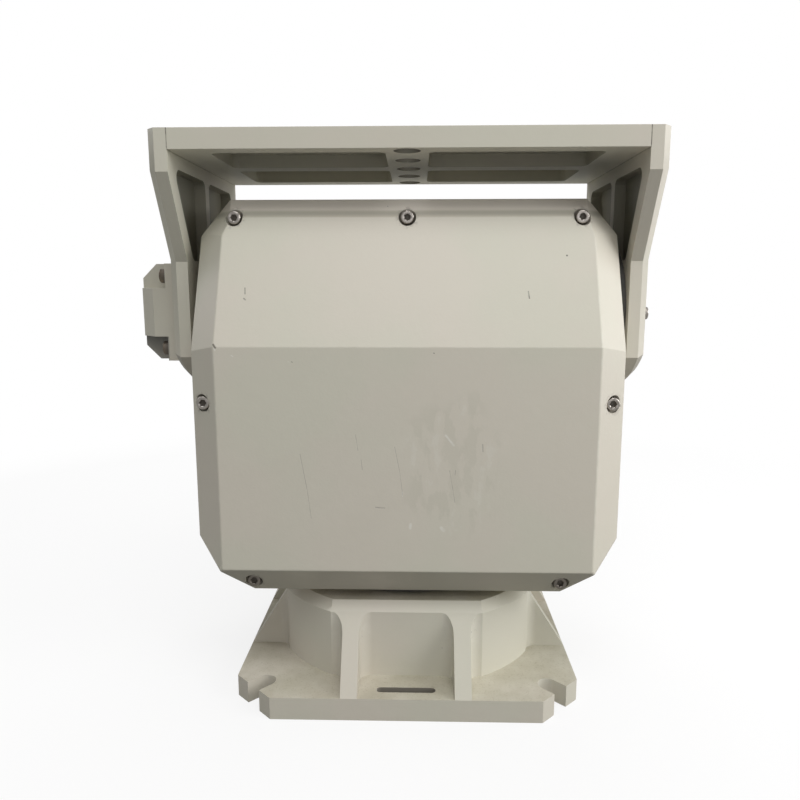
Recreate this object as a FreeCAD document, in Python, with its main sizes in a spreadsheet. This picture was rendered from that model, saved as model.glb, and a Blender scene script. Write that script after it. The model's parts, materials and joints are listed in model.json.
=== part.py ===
import FreeCAD, Part

import math
import os
import re

import Sketcher

# Motorized pan tilt head, in millimetres.
# X runs to the right, Y to the back and Z up. The origin is on the pan axis, at the foot's underside.
# A ribbed foot carries a hollow post. The faceted housing turns round the post, and a U bracket
# swings on a shaft that crosses the housing.

Vector = FreeCAD.Vector
Rotation = FreeCAD.Rotation
Placement = FreeCAD.Placement

SIZES = {
    # Clearances and shared details
    "fit_gap": 0.05,
    "press_gap": 0.02,
    "cut_reach": 5.0,
    # Foot plate, pedestal and ribs
    "base_half": 115.0,
    "base_thick": 15.0,
    "base_corner_cut": 27.0,
    "corner_slot_round": 6.75,
    "corner_slot_depth": 10.0,
    "pedestal_round": 100.0,
    "pedestal_flat": 86.0,
    "pedestal_top": 66.7,
    "pedestal_bevel": 6.0,
    "pedestal_roof": 10.0,
    "hollow_round": 76.0,
    "rib_middle": 37.0,
    "rib_thick": 11.0,
    "pocket_round": 8.0,
    "bay_slot_inset": 11.1,
    "bay_slot_half": 16.6,
    "bay_slot_round": 2.9,
    # Cable sockets at the back of the pedestal
    "socket_rise": 38.0,
    "socket_side": 12.2,
    "socket_round": 9.5,
    "socket_wall": 2.0,
    "socket_length": 28.0,
    "socket_flange_half": 11.0,
    "socket_flange_thick": 3.0,
    "pin_round": 1.2,
    "pin_circle": 4.0,
    "pin_length": 8.0,
    "pin_count": 4,
    # Fixed post
    "post_spigot_round": 50.0,
    "post_spigot_depth": 8.0,
    "post_flange_round": 62.0,
    "post_flange_thick": 5.5,
    "post_shoulder_round": 39.0,
    "post_journal_round": 35.0,
    "post_bore_round": 24.0,
    "post_screw_circle": 56.0,
    "post_screw_count": 4,
    "post_screw_bite": 4.5,
    # Pan bearings, gear and nut on the post
    "pan_inner_round": 38.5,
    "pan_outer_bore": 43.0,
    "pan_outer_round": 46.0,
    "pan_bearing_width": 12.0,
    "pan_bearing_spacing": 24.0,
    "pan_roller_count": 8,
    "roller_margin": 1.5,
    "spacer_wall": 3.0,
    "gear_hub_length": 18.0,
    "gear_hub_wall": 5.0,
    "gear_lift": 5.5,
    "gear_face": 10.0,
    "gear_module": 2.0,
    "wheel_teeth": 48,
    "pinion_teeth": 18,
    "pressure_angle": 20.0,
    "tooth_play": 0.24,
    "pinion_overlap": 0.7,
    "lock_nut_round": 42.0,
    "lock_nut_thick": 8.0,
    "post_end": 2.0,
    # Slip ring in the post
    "slip_body_length": 52.0,
    "slip_flange_round": 33.0,
    "slip_flange_thick": 3.0,
    "slip_body_gap": 1.0,
    "slip_bore_round": 7.0,
    "slip_spindle_round": 6.0,
    "slip_disc_round": 18.0,
    "slip_disc_thick": 3.0,
    "slip_disc_gap": 0.5,
    "slip_spindle_depth": 40.0,
    "fork_width": 12.0,
    "fork_thick": 3.0,
    # Housing
    "pan_gap": 7.3,
    "body_half_width": 140.0,
    "body_height": 260.0,
    "body_front": 98.0,
    "joint_half_depth": 40.0,
    "gasket_thick": 1.0,
    "gasket_inset": 1.0,
    "gasket_width": 3.5,
    "sole_slope": 20.5,
    "sole_run": 17.5,
    "knee_drop": 94.0,
    "brow_drop": 13.0,
    "facet_lean": 24.6,
    "brow_lean": 50.9,
    "side_bevel": 20.0,
    "corner_lean": 36.0,
    "sole_half_width": 103.5,
    "top_corner_drop": 24.0,
    "top_corner_width": 21.0,
    "cover_wall": 5.0,
    "cover_edge_round": 2.5,
    "housing_wall": 8.0,
    "floor_thick": 8.0,
    "hub_round": 54.0,
    "hub_gap": 0.5,
    "boss_round": 7.0,
    "tilt_boss_round": 36.0,
    "tilt_boss_depth": 26.0,
    # Cover screws
    "m5_round": 2.5,
    "m5_head_round": 4.25,
    "m5_head_height": 5.0,
    "m5_socket": 4.0,
    "m5_socket_depth": 2.5,
    "m6_round": 3.0,
    "m6_head_round": 5.0,
    "m6_head_height": 6.0,
    "m6_socket": 5.0,
    "m6_socket_depth": 3.0,
    "screw_gap": 0.2,
    "counterbore_gap": 1.5,
    "cover_screw_bite": 12.0,
    "top_screw_drop": 13.0,
    "top_screw_inset": 27.0,
    "side_screw_inset": 9.0,
    "side_screw_rise": 129.0,
    "sole_screw_rise": 9.4,
    "sole_screw_inset": 2.0,
    # Skirt ring and shaft seals
    "skirt_round": 70.0,
    "skirt_bore": 64.0,
    "skirt_drop": 5.8,
    "pan_seal_thick": 7.0,
    "retainer_thick": 4.0,
    # Motors and their brackets
    "gearbox_round": 24.0,
    "gearbox_length": 28.0,
    "motor_round": 21.0,
    "motor_length": 38.0,
    "motor_cap_round": 14.0,
    "motor_cap_length": 4.0,
    "motor_shaft_round": 4.0,
    "motor_shaft_hole": 13.0,
    "motor_shaft_bore": 12.0,
    "shaft_end_gap": 0.3,
    "bracket_thick": 6.0,
    "bracket_half_width": 28.0,
    "bracket_foot": 20.0,
    "bracket_screw_side": 18.0,
    "pan_bracket_reach": 87.5,
    "pan_bracket_lift": 68.0,
    # Tilt shaft and what runs on it
    "tilt_rise": 184.5,
    "tilt_journal_round": 17.5,
    "tilt_middle_round": 20.0,
    "tilt_end_round": 12.0,
    "tilt_bore_round": 8.0,
    "tilt_bore_end": 30.0,
    "tilt_outlet_round": 7.0,
    "tilt_end_length": 7.8,
    "tilt_inner_round": 20.5,
    "tilt_outer_bore": 24.5,
    "tilt_outer_round": 27.5,
    "tilt_bearing_width": 12.0,
    "tilt_bearing_inset": 10.0,
    "tilt_roller_count": 6,
    "circlip_round": 25.2,
    "circlip_thick": 2.0,
    "tilt_seal_round": 26.0,
    "tilt_seal_inset": 1.0,
    "tilt_gear_place": 84.0,
    "flange_gap": 1.0,
    "left_flange_round": 30.0,
    "right_flange_round": 48.0,
    # U bracket
    "arm_gap": 7.2,
    "arm_thick": 13.0,
    "arm_half_depth": 83.0,
    "arm_neck_half": 53.0,
    "arm_knee_drop": 26.0,
    "arm_neck_rise": 34.5,
    "arm_end_drop": 29.5,
    "arm_end_round": 72.2,
    "arm_bevel": 5.1,
    "arm_pocket_top": 9.0,
    "arm_pocket_rib": 8.8,
    "arm_pocket_margin": 14.2,
    "arm_pocket_floor": 35.5,
    "arm_pocket_depth": 8.0,
    "arm_pocket_round": 6.0,
    "plate_rise": 101.5,
    "plate_thick": 12.8,
    "plate_pocket_in": 14.0,
    "plate_pocket_out": 125.0,
    "plate_pocket_near": 8.0,
    "plate_pocket_far": 68.0,
    "plate_pocket_depth": 9.0,
    "plate_pocket_round": 5.0,
    "payload_hole_round": 8.5,
    "payload_hole_pitch": 36.0,
    "payload_hole_count": 5,
    "plate_screw_near": 25.0,
    "plate_screw_far": 70.0,
    "plate_screw_bite": 14.0,
    "plate_screw_proud": 0.6,
    "right_screw_circle": 42.0,
    "left_screw_circle": 22.0,
    "left_screw_sink": 5.4,
    "right_screw_sink": 2.3,
    "arm_screw_bite": 5.0,
    # Hub cover on the left arm
    "hub_box_half": 34.0,
    "hub_box_reach": 30.3,
    "hub_box_flange": 9.0,
    "hub_box_roof_bevel": 10.0,
    "hub_box_side_bevel": 11.5,
    "hub_notch_side": 20.0,
    "hub_notch_rise": 17.0,
    "hub_screw_side": 27.0,
    "hub_screw_rise": 25.5,
    "hub_screw_sink": 1.0,
    "hub_screw_bite": 9.0,
    "hub_hollow_round": 23.5,
    "hub_hollow_depth": 20.0,
    "hub_gasket_thick": 0.8,
    # Control board on the left wall
    "board_half_width": 34.0,
    "board_foot_gap": 5.5,
    "board_head_gap": 6.0,
    "board_thick": 1.6,
    "board_hole_inset": 6.0,
    "spacer_round": 3.0,
    "spacer_length": 8.0,
    "board_block_depth": 14.0,
    "board_block_width": 16.0,
    "board_block_height": 12.0,
    "capacitor_round": 6.0,
    "capacitor_length": 18.0,
}

doc = FreeCAD.newDocument("pan_tilt_head")
sheet = doc.addObject("Spreadsheet::Sheet", "Sizes")
for row, (alias, size) in enumerate(SIZES.items(), start=1):
    sheet.set(f"A{row}", alias)
    sheet.set(f"B{row}", str(size))
    sheet.setAlias(f"B{row}", alias)
doc.recompute()

# Heights and places that several pieces share, as formulas of the sizes above
FLOOR = "(pedestal_top + pan_gap)"
ROOF = f"({FLOOR} + body_height)"
TILT = f"({FLOOR} + tilt_rise)"
PEDESTAL_CEILING = "(pedestal_top - pedestal_roof)"
POST_FLANGE_TOP = "(pedestal_top + post_flange_thick)"
LOWER_BEARING = f"({FLOOR} + floor_thick)"
UPPER_BEARING = f"({LOWER_BEARING} + pan_bearing_width + pan_bearing_spacing)"
GEAR_SEAT = f"({UPPER_BEARING} + pan_bearing_width)"
NUT_SEAT = f"({GEAR_SEAT} + gear_hub_length)"
POST_TOP = f"({NUT_SEAT} + lock_nut_thick + post_end)"
WHEEL_RADIUS = "(gear_module * wheel_teeth / 2)"
CENTRE_DISTANCE = "(gear_module * (wheel_teeth + pinion_teeth) / 2)"
WALL_INSIDE = "(body_half_width - housing_wall)"
ARM_INSIDE = "(body_half_width + arm_gap)"
ARM_OUTSIDE = f"({ARM_INSIDE} + arm_thick)"
PLATE_BOTTOM = f"({TILT} + plate_rise)"
PLATE_TOP = f"({PLATE_BOTTOM} + plate_thick)"
HALF_RIB = "(rib_thick / 2)"
TILT_BEARING = "(body_half_width - tilt_bearing_inset - tilt_bearing_width)"
PAN_BRACKET_TOP = f"({LOWER_BEARING} + pan_bracket_lift)"
TILT_MOTOR_FACE = "(tilt_gear_place - bracket_thick - 2 * pinion_overlap)"
BROW_DEPTH = "(body_front - (knee_drop - brow_drop) * tan(facet_lean))"
ROOF_DEPTH = f"({BROW_DEPTH} - brow_drop * tan(brow_lean))"
TOP_SCREW_SEAT = f"({BROW_DEPTH} - m5_head_height)"
SIDE_SCREW_SEAT = "(body_front - side_bevel + side_screw_inset - m5_head_height)"
SOLE_SCREW_SEAT = "(body_front - sole_run * (1 - sole_screw_rise / sole_slope) - m5_head_height)"

TURNS = {
    "Z": Rotation(),
    "-Z": Rotation(Vector(1, 0, 0), 180),
    "X": Rotation(Vector(0, 1, 0), 90),
    "-X": Rotation(Vector(0, 1, 0), -90),
    "Y": Rotation(Vector(1, 0, 0), -90),
    "-Y": Rotation(Vector(1, 0, 0), 90),
}
ORIGIN = ("0", "0", "0")
RING_START = {"left": 45, "right": 0}
TOUCH = 0.01
pieces = []


# Helpers: formulas


def bound(formula):
    """The formula with every size's name pointed at its cell in the sheet."""
    def cell(word):
        return f"Sizes.{word[0]}" if word[0] in SIZES else word[0]

    return re.sub(r"\b[a-z][a-z0-9_]*\b", cell, formula)


def number(formula):
    """The formula's present value."""
    value = sheet.evalExpression(bound(formula))
    return float(getattr(value, "Value", value))


def bind(item, prop, formula):
    item.setExpression(prop, bound(formula))


def put(item, at, along="Z"):
    """Place an object by three formulas, turned so that its own Z runs along the named axis."""
    item.Placement = Placement(Vector(*[number(place) for place in at]), TURNS[along])
    for axis, place in zip("xyz", at):
        bind(item, f".Placement.Base.{axis}", place)
    return item


def piece(label, item):
    """Name a finished sub-part. Its label is also its file's name."""
    item.Label = label
    pieces.append(item)
    return item


# Helpers: primitives and booleans


def cylinder(name, radius, length, at=ORIGIN, along="Z"):
    item = doc.addObject("Part::Cylinder", name)
    bind(item, "Radius", radius)
    bind(item, "Height", length)
    return put(item, at, along)


def box(name, lengths, at):
    """A box from its lowest corner."""
    item = doc.addObject("Part::Box", name)
    for prop, length in zip(("Length", "Width", "Height"), lengths):
        bind(item, prop, length)
    return put(item, at)


def fuse(name, shapes):
    item = doc.addObject("Part::MultiFuse", name)
    item.Shapes = shapes
    item.Refine = True
    return item


def cut(name, base, tools):
    item = doc.addObject("Part::Cut", name)
    item.Base = base
    item.Tool = tools[0] if len(tools) == 1 else fuse(f"{name}_tools", tools)
    item.Refine = True
    return item


def tube(name, outer, inner, length, at=ORIGIN, along="Z"):
    """A plain ring from two radii."""
    shell = new_body(name)
    half_section = sketch_on(shell, "XZ_Plane", f"{name}_section")
    polygon(half_section, [(inner, "0"), (outer, "0"), (outer, length), (inner, length)])
    revolve(shell, half_section)
    return put(shell, at, along)


def group(label, members):
    """Several like solids kept as one sub-part."""
    item = doc.addObject("Part::Compound", label)
    item.Links = members
    return piece(label, item)


def copies(name, master, places, along="Z"):
    """Linked copies of one object, each at its own place."""
    links = []
    for index, at in enumerate(places, start=1):
        link = doc.addObject("App::Link", f"{name}_{index}")
        link.LinkedObject = master
        links.append(put(link, at, along))
    return links


# Helpers: bodies and sketches


def new_body(name):
    return doc.addObject("PartDesign::Body", name)


def sketch_on(body, role, name, rise="0"):
    """A sketch on one of the body's own origin planes, lifted along the plane's normal."""
    plane = next(feature for feature in body.Origin.OriginFeatures if feature.Role == role)
    sketch = body.newObject("Sketcher::SketchObject", name)
    sketch.AttachmentSupport = [(plane, "")]
    sketch.MapMode = "FlatFace"
    bind(sketch, ".AttachmentOffset.Base.z", rise)
    return sketch


def hold(sketch, kind, point, formula):
    """Fix one coordinate of a sketch point to a formula, or one radius where kind is Radius."""
    if kind == "Radius":
        constraint = sketch.addConstraint(Sketcher.Constraint(kind, *point, number(formula)))
    elif formula == "0":
        sketch.addConstraint(Sketcher.Constraint("PointOnObject", *point, -2 if kind == "DistanceX" else -1))
        return
    else:
        constraint = sketch.addConstraint(Sketcher.Constraint(kind, -1, 1, *point, number(formula)))
    label = f"{kind}_{constraint}"
    sketch.renameConstraint(constraint, label)
    bind(sketch, f"Constraints.{label}", formula)


def hold_point(sketch, point, across, up):
    hold(sketch, "DistanceX", point, across)
    hold(sketch, "DistanceY", point, up)


def polygon(sketch, corners):
    """A closed outline of straight lines through the corners."""
    first = sketch.GeometryCount
    spots = [Vector(number(across), number(up), 0) for across, up in corners]
    for index in range(len(corners)):
        sketch.addGeometry(Part.LineSegment(spots[index - 1], spots[index]), False)
    for index, (across, up) in enumerate(corners):
        following = first + (index + 1) % len(corners)
        sketch.addConstraint(Sketcher.Constraint("Coincident", first + index, 2, following, 1))
        hold_point(sketch, (first + index, 2), across, up)


def rectangle(sketch, left, right, low, high):
    polygon(sketch, [(left, low), (right, low), (right, high), (left, high)])


def rounded_rectangle(sketch, left, right, low, high, radius):
    """An upright rectangle with four round corners."""
    first = sketch.GeometryCount
    rounding = number(radius)
    sides = [number(left), number(right)]
    levels = [number(low), number(high)]
    inner = [(sides[end] + step * rounding) for end, step in ((0, 1), (1, -1))]
    rise = [(levels[end] + step * rounding) for end, step in ((0, 1), (1, -1))]
    edges = [
        ((inner[0], levels[0]), (inner[1], levels[0])),
        ((sides[1], rise[0]), (sides[1], rise[1])),
        ((inner[1], levels[1]), (inner[0], levels[1])),
        ((sides[0], rise[1]), (sides[0], rise[0])),
    ]
    centres = [(inner[1], rise[0]), (inner[1], rise[1]), (inner[0], rise[1]), (inner[0], rise[0])]
    quarter = math.pi / 2
    for index, ((start, end), centre) in enumerate(zip(edges, centres)):
        sketch.addGeometry(Part.LineSegment(Vector(*start, 0), Vector(*end, 0)), False)
        bend = Part.Circle(Vector(*centre, 0), Vector(0, 0, 1), rounding)
        sketch.addGeometry(Part.ArcOfCircle(bend, (index - 1) * quarter, index * quarter), False)
    for index in range(8):
        following = first + (index + 1) % 8
        sketch.addConstraint(Sketcher.Constraint("Tangent", first + index, 2, following, 1))
    for index in range(0, 8, 2):
        sketch.addConstraint(Sketcher.Constraint("Vertical" if index % 4 else "Horizontal", first + index))
    for index in range(3, 8, 2):
        sketch.addConstraint(Sketcher.Constraint("Equal", first + 1, first + index))
    hold(sketch, "Radius", (first + 1,), radius)
    hold(sketch, "DistanceY", (first, 1), low)
    hold(sketch, "DistanceX", (first + 2, 1), right)
    hold(sketch, "DistanceY", (first + 4, 1), high)
    hold(sketch, "DistanceX", (first + 6, 1), left)


def circle(sketch, radius, across="0", up="0"):
    centre = Vector(number(across), number(up), 0)
    curve = sketch.addGeometry(Part.Circle(centre, Vector(0, 0, 1), number(radius)), False)
    hold(sketch, "Radius", (curve,), radius)
    if across == "0" and up == "0":
        sketch.addConstraint(Sketcher.Constraint("Coincident", curve, 3, -1, 1))
    else:
        hold_point(sketch, (curve, 3), across, up)


def slot(sketch, start, end, up, radius):
    """A slot along the sketch's first axis, between the centres of its two round ends."""
    left = Vector(number(start), number(up), 0)
    right = Vector(number(end), number(up), 0)
    reach = Vector(0, number(radius), 0)
    normal = Vector(0, 0, 1)
    quarter = math.pi / 2
    rounding = reach.y
    first = sketch.GeometryCount
    sketch.addGeometry(Part.ArcOfCircle(Part.Circle(left, normal, rounding), quarter, 3 * quarter), False)
    sketch.addGeometry(Part.LineSegment(left - reach, right - reach), False)
    sketch.addGeometry(Part.ArcOfCircle(Part.Circle(right, normal, rounding), -quarter, quarter), False)
    sketch.addGeometry(Part.LineSegment(right + reach, left + reach), False)
    for index in range(4):
        following = first + (index + 1) % 4
        sketch.addConstraint(Sketcher.Constraint("Tangent", first + index, 2, following, 1))
    sketch.addConstraint(Sketcher.Constraint("Horizontal", first + 1))
    hold(sketch, "Radius", (first,), radius)
    hold(sketch, "DistanceX", (first, 3), start)
    hold(sketch, "DistanceX", (first + 2, 3), end)
    hold(sketch, "DistanceY", (first, 3), up)


def pad(body, sketch, length, midplane=False, backwards=False):
    feature = body.newObject("PartDesign::Pad", f"{sketch.Name}_pad")
    feature.Profile = sketch
    feature.Midplane = midplane
    feature.Reversed = backwards
    bind(feature, "Length", length)
    return feature


def pocket(body, sketch, depth, midplane=False, along_normal=False):
    feature = body.newObject("PartDesign::Pocket", f"{sketch.Name}_pocket")
    feature.Profile = sketch
    feature.Midplane = midplane
    feature.Reversed = along_normal
    bind(feature, "Length", depth)
    return feature


def revolve(body, sketch):
    feature = body.newObject("PartDesign::Revolution", f"{sketch.Name}_turn")
    feature.Profile = sketch
    feature.ReferenceAxis = (sketch, ["V_Axis"])
    feature.Angle = 360
    return feature


def around(body, feature, count):
    """Repeat a feature round its sketch's normal."""
    pattern = body.newObject("PartDesign::PolarPattern", f"{feature.Name}_round")
    pattern.Originals = [feature]
    pattern.Axis = (feature.Profile[0], ["N_Axis"])
    pattern.Angle = 360
    bind(pattern, "Occurrences", count)
    body.Tip = pattern
    return pattern


def edges_where(body, test):
    doc.recompute()
    return [f"Edge{index}" for index, edge in enumerate(body.Shape.Edges, start=1) if test(edge)]


def dress(body, kind, edges, size):
    """A fillet or a chamfer on the named edges of the body as it stands."""
    before = body.Tip
    feature = body.newObject(f"PartDesign::{kind}", f"{body.Name}_{kind.lower()}")
    feature.Base = (before, edges)
    bind(feature, "Radius" if kind == "Fillet" else "Size", size)
    body.Tip = feature
    return feature


def runs_through(edge, axes, spot):
    """Whether a straight edge keeps the spot's absolute values on the two named axes."""
    ends = [vertex.Point for vertex in edge.Vertexes]
    if len(ends) != 2:
        return False
    return all(abs(abs(end[axis]) - abs(value)) < TOUCH for end in ends for axis, value in zip(axes, spot))


def lies_at(edge, axis, value):
    """Whether the whole edge lies in the plane where the axis has that value."""
    low = (edge.BoundBox.XMin, edge.BoundBox.YMin, edge.BoundBox.ZMin)[axis]
    high = (edge.BoundBox.XMax, edge.BoundBox.YMax, edge.BoundBox.ZMax)[axis]
    return abs(low - value) < TOUCH and abs(high - value) < TOUCH


# Fasteners


def cap_screw(name, thread, length):
    """A socket cap screw that hangs from its seat at Z 0, head up. thread is m5 or m6."""
    body = new_body(name)
    section = sketch_on(body, "XZ_Plane", f"{name}_section")
    head, height = f"{thread}_head_round", f"{thread}_head_height"
    shank = f"{thread}_round"
    tip = f"-({length})"
    outline = [("0", tip), (shank, tip), (shank, "0"), (head, "0"), (head, height), ("0", height)]
    polygon(section, outline)
    revolve(body, section)
    recess = sketch_on(body, "XY_Plane", f"{name}_recess", height)
    across = f"({thread}_socket / sqrt(3))"
    hexagon = [(f"{across} * cos({60 * side})", f"{across} * sin({60 * side})") for side in range(6)]
    hexagon[0] = (across, "0")
    hexagon[3] = (f"-{across}", "0")
    polygon(recess, hexagon)
    pocket(body, recess, f"{thread}_socket_depth")
    return body


def screws(label, thread, length, places, along):
    """A row of like cap screws as one sub-part."""
    return group(label, copies(f"{label}_copy", cap_screw(f"{label}_master", thread, length), places, along))


def hole_round(thread):
    return f"({thread}_round + screw_gap)"


# Gears


def gear_shape(teeth, module, pressure, play, face, bore):
    """A spur gear with involute flanks. One tooth points along X, and play is taken off each tooth."""
    pitch = module * teeth / 2
    base = pitch * math.cos(pressure)
    tip = pitch + module
    root = pitch - 1.25 * module
    rolled = math.tan(pressure) - pressure
    half_pitch_tooth = math.pi / (2 * teeth) - play / (2 * pitch)

    def half_tooth(radius):
        angle = math.acos(min(1.0, base / radius))
        return half_pitch_tooth + rolled - (math.tan(angle) - angle)

    foot = max(base, root)
    low = half_tooth(foot)
    flank = [(root, low), (foot, low), (pitch, half_pitch_tooth), (tip, half_tooth(tip))]
    if foot == root:
        flank = flank[1:]
    corners = []
    for tooth in range(teeth):
        middle = 2 * math.pi * tooth / teeth
        corners += [(radius, middle - half) for radius, half in flank]
        corners += [(radius, middle + half) for radius, half in reversed(flank)]
    points = [Vector(radius * math.cos(angle), radius * math.sin(angle), 0) for radius, angle in corners]
    outline = Part.Face(Part.makePolygon(points + points[:1]))
    blank = outline.extrude(Vector(0, 0, face))
    return blank.cut(Part.makeCylinder(bore, face)) if bore else blank


def toothed(name, teeth, face, bore="0"):
    """A gear's toothed rim, read from the sizes."""
    item = doc.addObject("Part::Feature", name)
    pressure = math.radians(number("pressure_angle"))
    play = number("tooth_play")
    count = round(number(teeth))
    item.Shape = gear_shape(count, number("gear_module"), pressure, play, number(face), number(bore))
    return item


# Foot


def rib_outline(sketch):
    """The slope of a rib from the plate's edge up to the bevelled top of the pedestal."""
    shoulder = "pedestal_top - pedestal_bevel"
    crown = "pedestal_flat - pedestal_bevel"
    corners = [("base_half", "base_thick"), ("pedestal_flat", shoulder), (crown, "pedestal_top")]
    mirrored = [(f"-({across})", up) for across, up in reversed(corners)]
    polygon(sketch, corners + mirrored)


def base_casting():
    body = new_body("base_body")
    plate = sketch_on(body, "XY_Plane", "base_plate")
    edge, short = "base_half", "(base_half - base_corner_cut)"
    quarter = [(edge, short), (short, edge)]
    corners = quarter + [(f"-{x}", y) for x, y in reversed(quarter)]
    corners += [(f"-{x}", f"-{y}") for x, y in quarter] + [(x, f"-{y}") for x, y in reversed(quarter)]
    polygon(plate, corners)
    pad(body, plate, "base_thick")

    drum = sketch_on(body, "XY_Plane", "base_drum")
    circle(drum, "pedestal_round")
    pad(body, drum, "pedestal_top")
    flats = sketch_on(body, "XY_Plane", "base_flats", "base_thick")
    reach = "(pedestal_round + cut_reach)"
    rectangle(flats, f"-{reach}", reach, f"-{reach}", reach)
    rectangle(flats, "-pedestal_flat", "pedestal_flat", "-pedestal_flat", "pedestal_flat")
    pocket(body, flats, "pedestal_top - base_thick", along_normal=True)
    top = number("pedestal_top")
    dress(body, "Chamfer", edges_where(body, lambda line: lies_at(line, 2, top)), "pedestal_bevel")

    rib_inside, rib_outside = f"(rib_middle - {HALF_RIB})", f"(rib_middle + {HALF_RIB})"
    for role, name in (("YZ_Plane", "ribs_front_back"), ("XZ_Plane", "ribs_left_right")):
        slope = sketch_on(body, role, name)
        rib_outline(slope)
        pad(body, slope, f"2 * ({rib_outside} + pocket_round)", midplane=True)
    relief = sketch_on(body, "XY_Plane", "base_relief", "base_thick")
    depth = ("pedestal_flat", "base_half + cut_reach + pocket_round")
    beyond = f"{rib_outside} + 3 * pocket_round"
    rounded_rectangle(relief, f"-{rib_inside}", rib_inside, *depth, "pocket_round")
    rounded_rectangle(relief, rib_outside, beyond, *depth, "pocket_round")
    rounded_rectangle(relief, f"-({beyond})", f"-{rib_outside}", *depth, "pocket_round")
    around(body, pocket(body, relief, "pedestal_top", along_normal=True), "4")

    hollow = sketch_on(body, "XY_Plane", "base_hollow")
    circle(hollow, "hollow_round")
    pocket(body, hollow, PEDESTAL_CEILING, along_normal=True)
    mouth = sketch_on(body, "XY_Plane", "base_mouth", "pedestal_top")
    circle(mouth, "post_spigot_round")
    pocket(body, mouth, "pedestal_roof + cut_reach")
    screw_hole = sketch_on(body, "XY_Plane", "base_screw_hole", "pedestal_top")
    circle(screw_hole, hole_round("m6"), "post_screw_circle")
    around(body, pocket(body, screw_hole, "pedestal_roof + cut_reach"), "post_screw_count")

    corner_slot = sketch_on(body, "XY_Plane", "base_corner_slot", "base_thick")
    corner_slot.AttachmentOffset = Placement(Vector(), Rotation(Vector(0, 0, 1), 45))
    bind(corner_slot, ".AttachmentOffset.Base.z", "base_thick")
    slot_end = "((2 * base_half - base_corner_cut) / sqrt(2) - corner_slot_depth)"
    slot(corner_slot, slot_end, "base_half * sqrt(2)", "0", "corner_slot_round")
    around(body, pocket(body, corner_slot, "base_thick + cut_reach"), "4")
    bay_slot = sketch_on(body, "XY_Plane", "base_bay_slot", "base_thick")
    slot(bay_slot, "-bay_slot_half", "bay_slot_half", "-(base_half - bay_slot_inset)", "bay_slot_round")
    pocket(body, bay_slot, "base_thick + cut_reach")

    sockets = sketch_on(body, "XZ_Plane", "base_socket_holes")
    for side in ("-socket_side", "socket_side"):
        circle(sockets, "socket_round + screw_gap", side, "socket_rise")
    pocket(body, sockets, "pedestal_flat + cut_reach")
    piece("base_casting", body)


def rear_sockets():
    """Two round cable connectors that face backwards, each a flanged shell round an insert with pins."""
    shells = []
    inserts = []
    face = "pedestal_flat"
    shell_start = "(pedestal_flat + socket_flange_thick + socket_length / 2 - socket_length)"
    for name, side in (("left", "-socket_side"), ("right", "socket_side")):
        flange = box(
            f"socket_flange_{name}",
            ("2 * socket_flange_half", "socket_flange_thick", "2 * socket_flange_half"),
            (f"{side} - socket_flange_half", face, "socket_rise - socket_flange_half"),
        )
        start = (side, shell_start, "socket_rise")
        barrel = cylinder(f"socket_barrel_{name}", "socket_round", "socket_length", start, "Y")
        bore = "socket_round - socket_wall"
        inside = cylinder(f"socket_bore_{name}", bore, "socket_length", start, "Y")
        shells.append(cut(f"socket_shell_{name}", fuse(f"socket_solid_{name}", [flange, barrel]), [inside]))
        core = cylinder(
            f"socket_core_{name}",
            "socket_round - socket_wall - press_gap",
            "socket_length / 2",
            (side, shell_start, "socket_rise"),
            "Y",
        )
        pins = []
        for index in range(SIZES["pin_count"]):
            turn = f"(360 * {index} / pin_count)"
            at = (
                f"{side} + pin_circle * cos({turn})",
                f"{shell_start} + socket_length / 2",
                f"socket_rise + pin_circle * sin({turn})",
            )
            pins.append(cylinder(f"socket_pin_{name}_{index}", "pin_round", "pin_length", at, "Y"))
        inserts.append(fuse(f"socket_insert_{name}", [core] + pins))
    group("rear_socket_shells", shells)
    group("rear_socket_inserts", inserts)


# Post, pan bearings and the fixed gear


def pan_post():
    body = new_body("post_body")
    section = sketch_on(body, "XZ_Plane", "post_section")
    spigot = "(post_spigot_round - fit_gap)"
    spigot_foot = "(pedestal_top - post_spigot_depth)"
    corners = [
        ("post_bore_round", spigot_foot),
        (spigot, spigot_foot),
        (spigot, "pedestal_top"),
        ("post_flange_round", "pedestal_top"),
        ("post_flange_round", POST_FLANGE_TOP),
        ("post_shoulder_round", POST_FLANGE_TOP),
        ("post_shoulder_round", LOWER_BEARING),
        ("post_journal_round", LOWER_BEARING),
        ("post_journal_round", POST_TOP),
        ("post_bore_round", POST_TOP),
    ]
    polygon(section, corners)
    revolve(body, section)
    holes = sketch_on(body, "XY_Plane", "post_screw_holes", "pedestal_top")
    circle(holes, hole_round("m6"), "post_screw_circle")
    around(body, pocket(body, holes, "post_screw_bite + screw_gap", along_normal=True), "post_screw_count")
    piece("pan_post", body)

    places = []
    for index in range(SIZES["post_screw_count"]):
        turn = f"(360 * {index} / post_screw_count)"
        across, deep = f"post_screw_circle * cos({turn})", f"post_screw_circle * sin({turn})"
        places.append((across, deep, PEDESTAL_CEILING))
    screws("post_screws", "m6", "pedestal_roof + post_screw_bite", places, "-Z")


def rollers(name, count, inner, outer, width, at, along):
    """Rollers that run between an inner and an outer ring."""
    gap = "fit_gap"
    radius = f"(({outer} - {inner}) / 2 - {gap})"
    pitch = f"(({outer} + {inner}) / 2)"
    across = {"Z": (0, 1), "X": (1, 2)}[along]
    axis = {"Z": 2, "X": 0}[along]
    solids = []
    for index in range(SIZES[count]):
        turn = f"(360 * {index} / {count})"
        spot = list(at)
        spot[across[0]] = f"{at[across[0]]} + {pitch} * cos({turn})"
        spot[across[1]] = f"{at[across[1]]} + {pitch} * sin({turn})"
        spot[axis] = f"{at[axis]} + roller_margin"
        solids.append(cylinder(f"{name}_{index}", radius, f"{width} - 2 * roller_margin", tuple(spot), along))
    return solids


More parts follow.
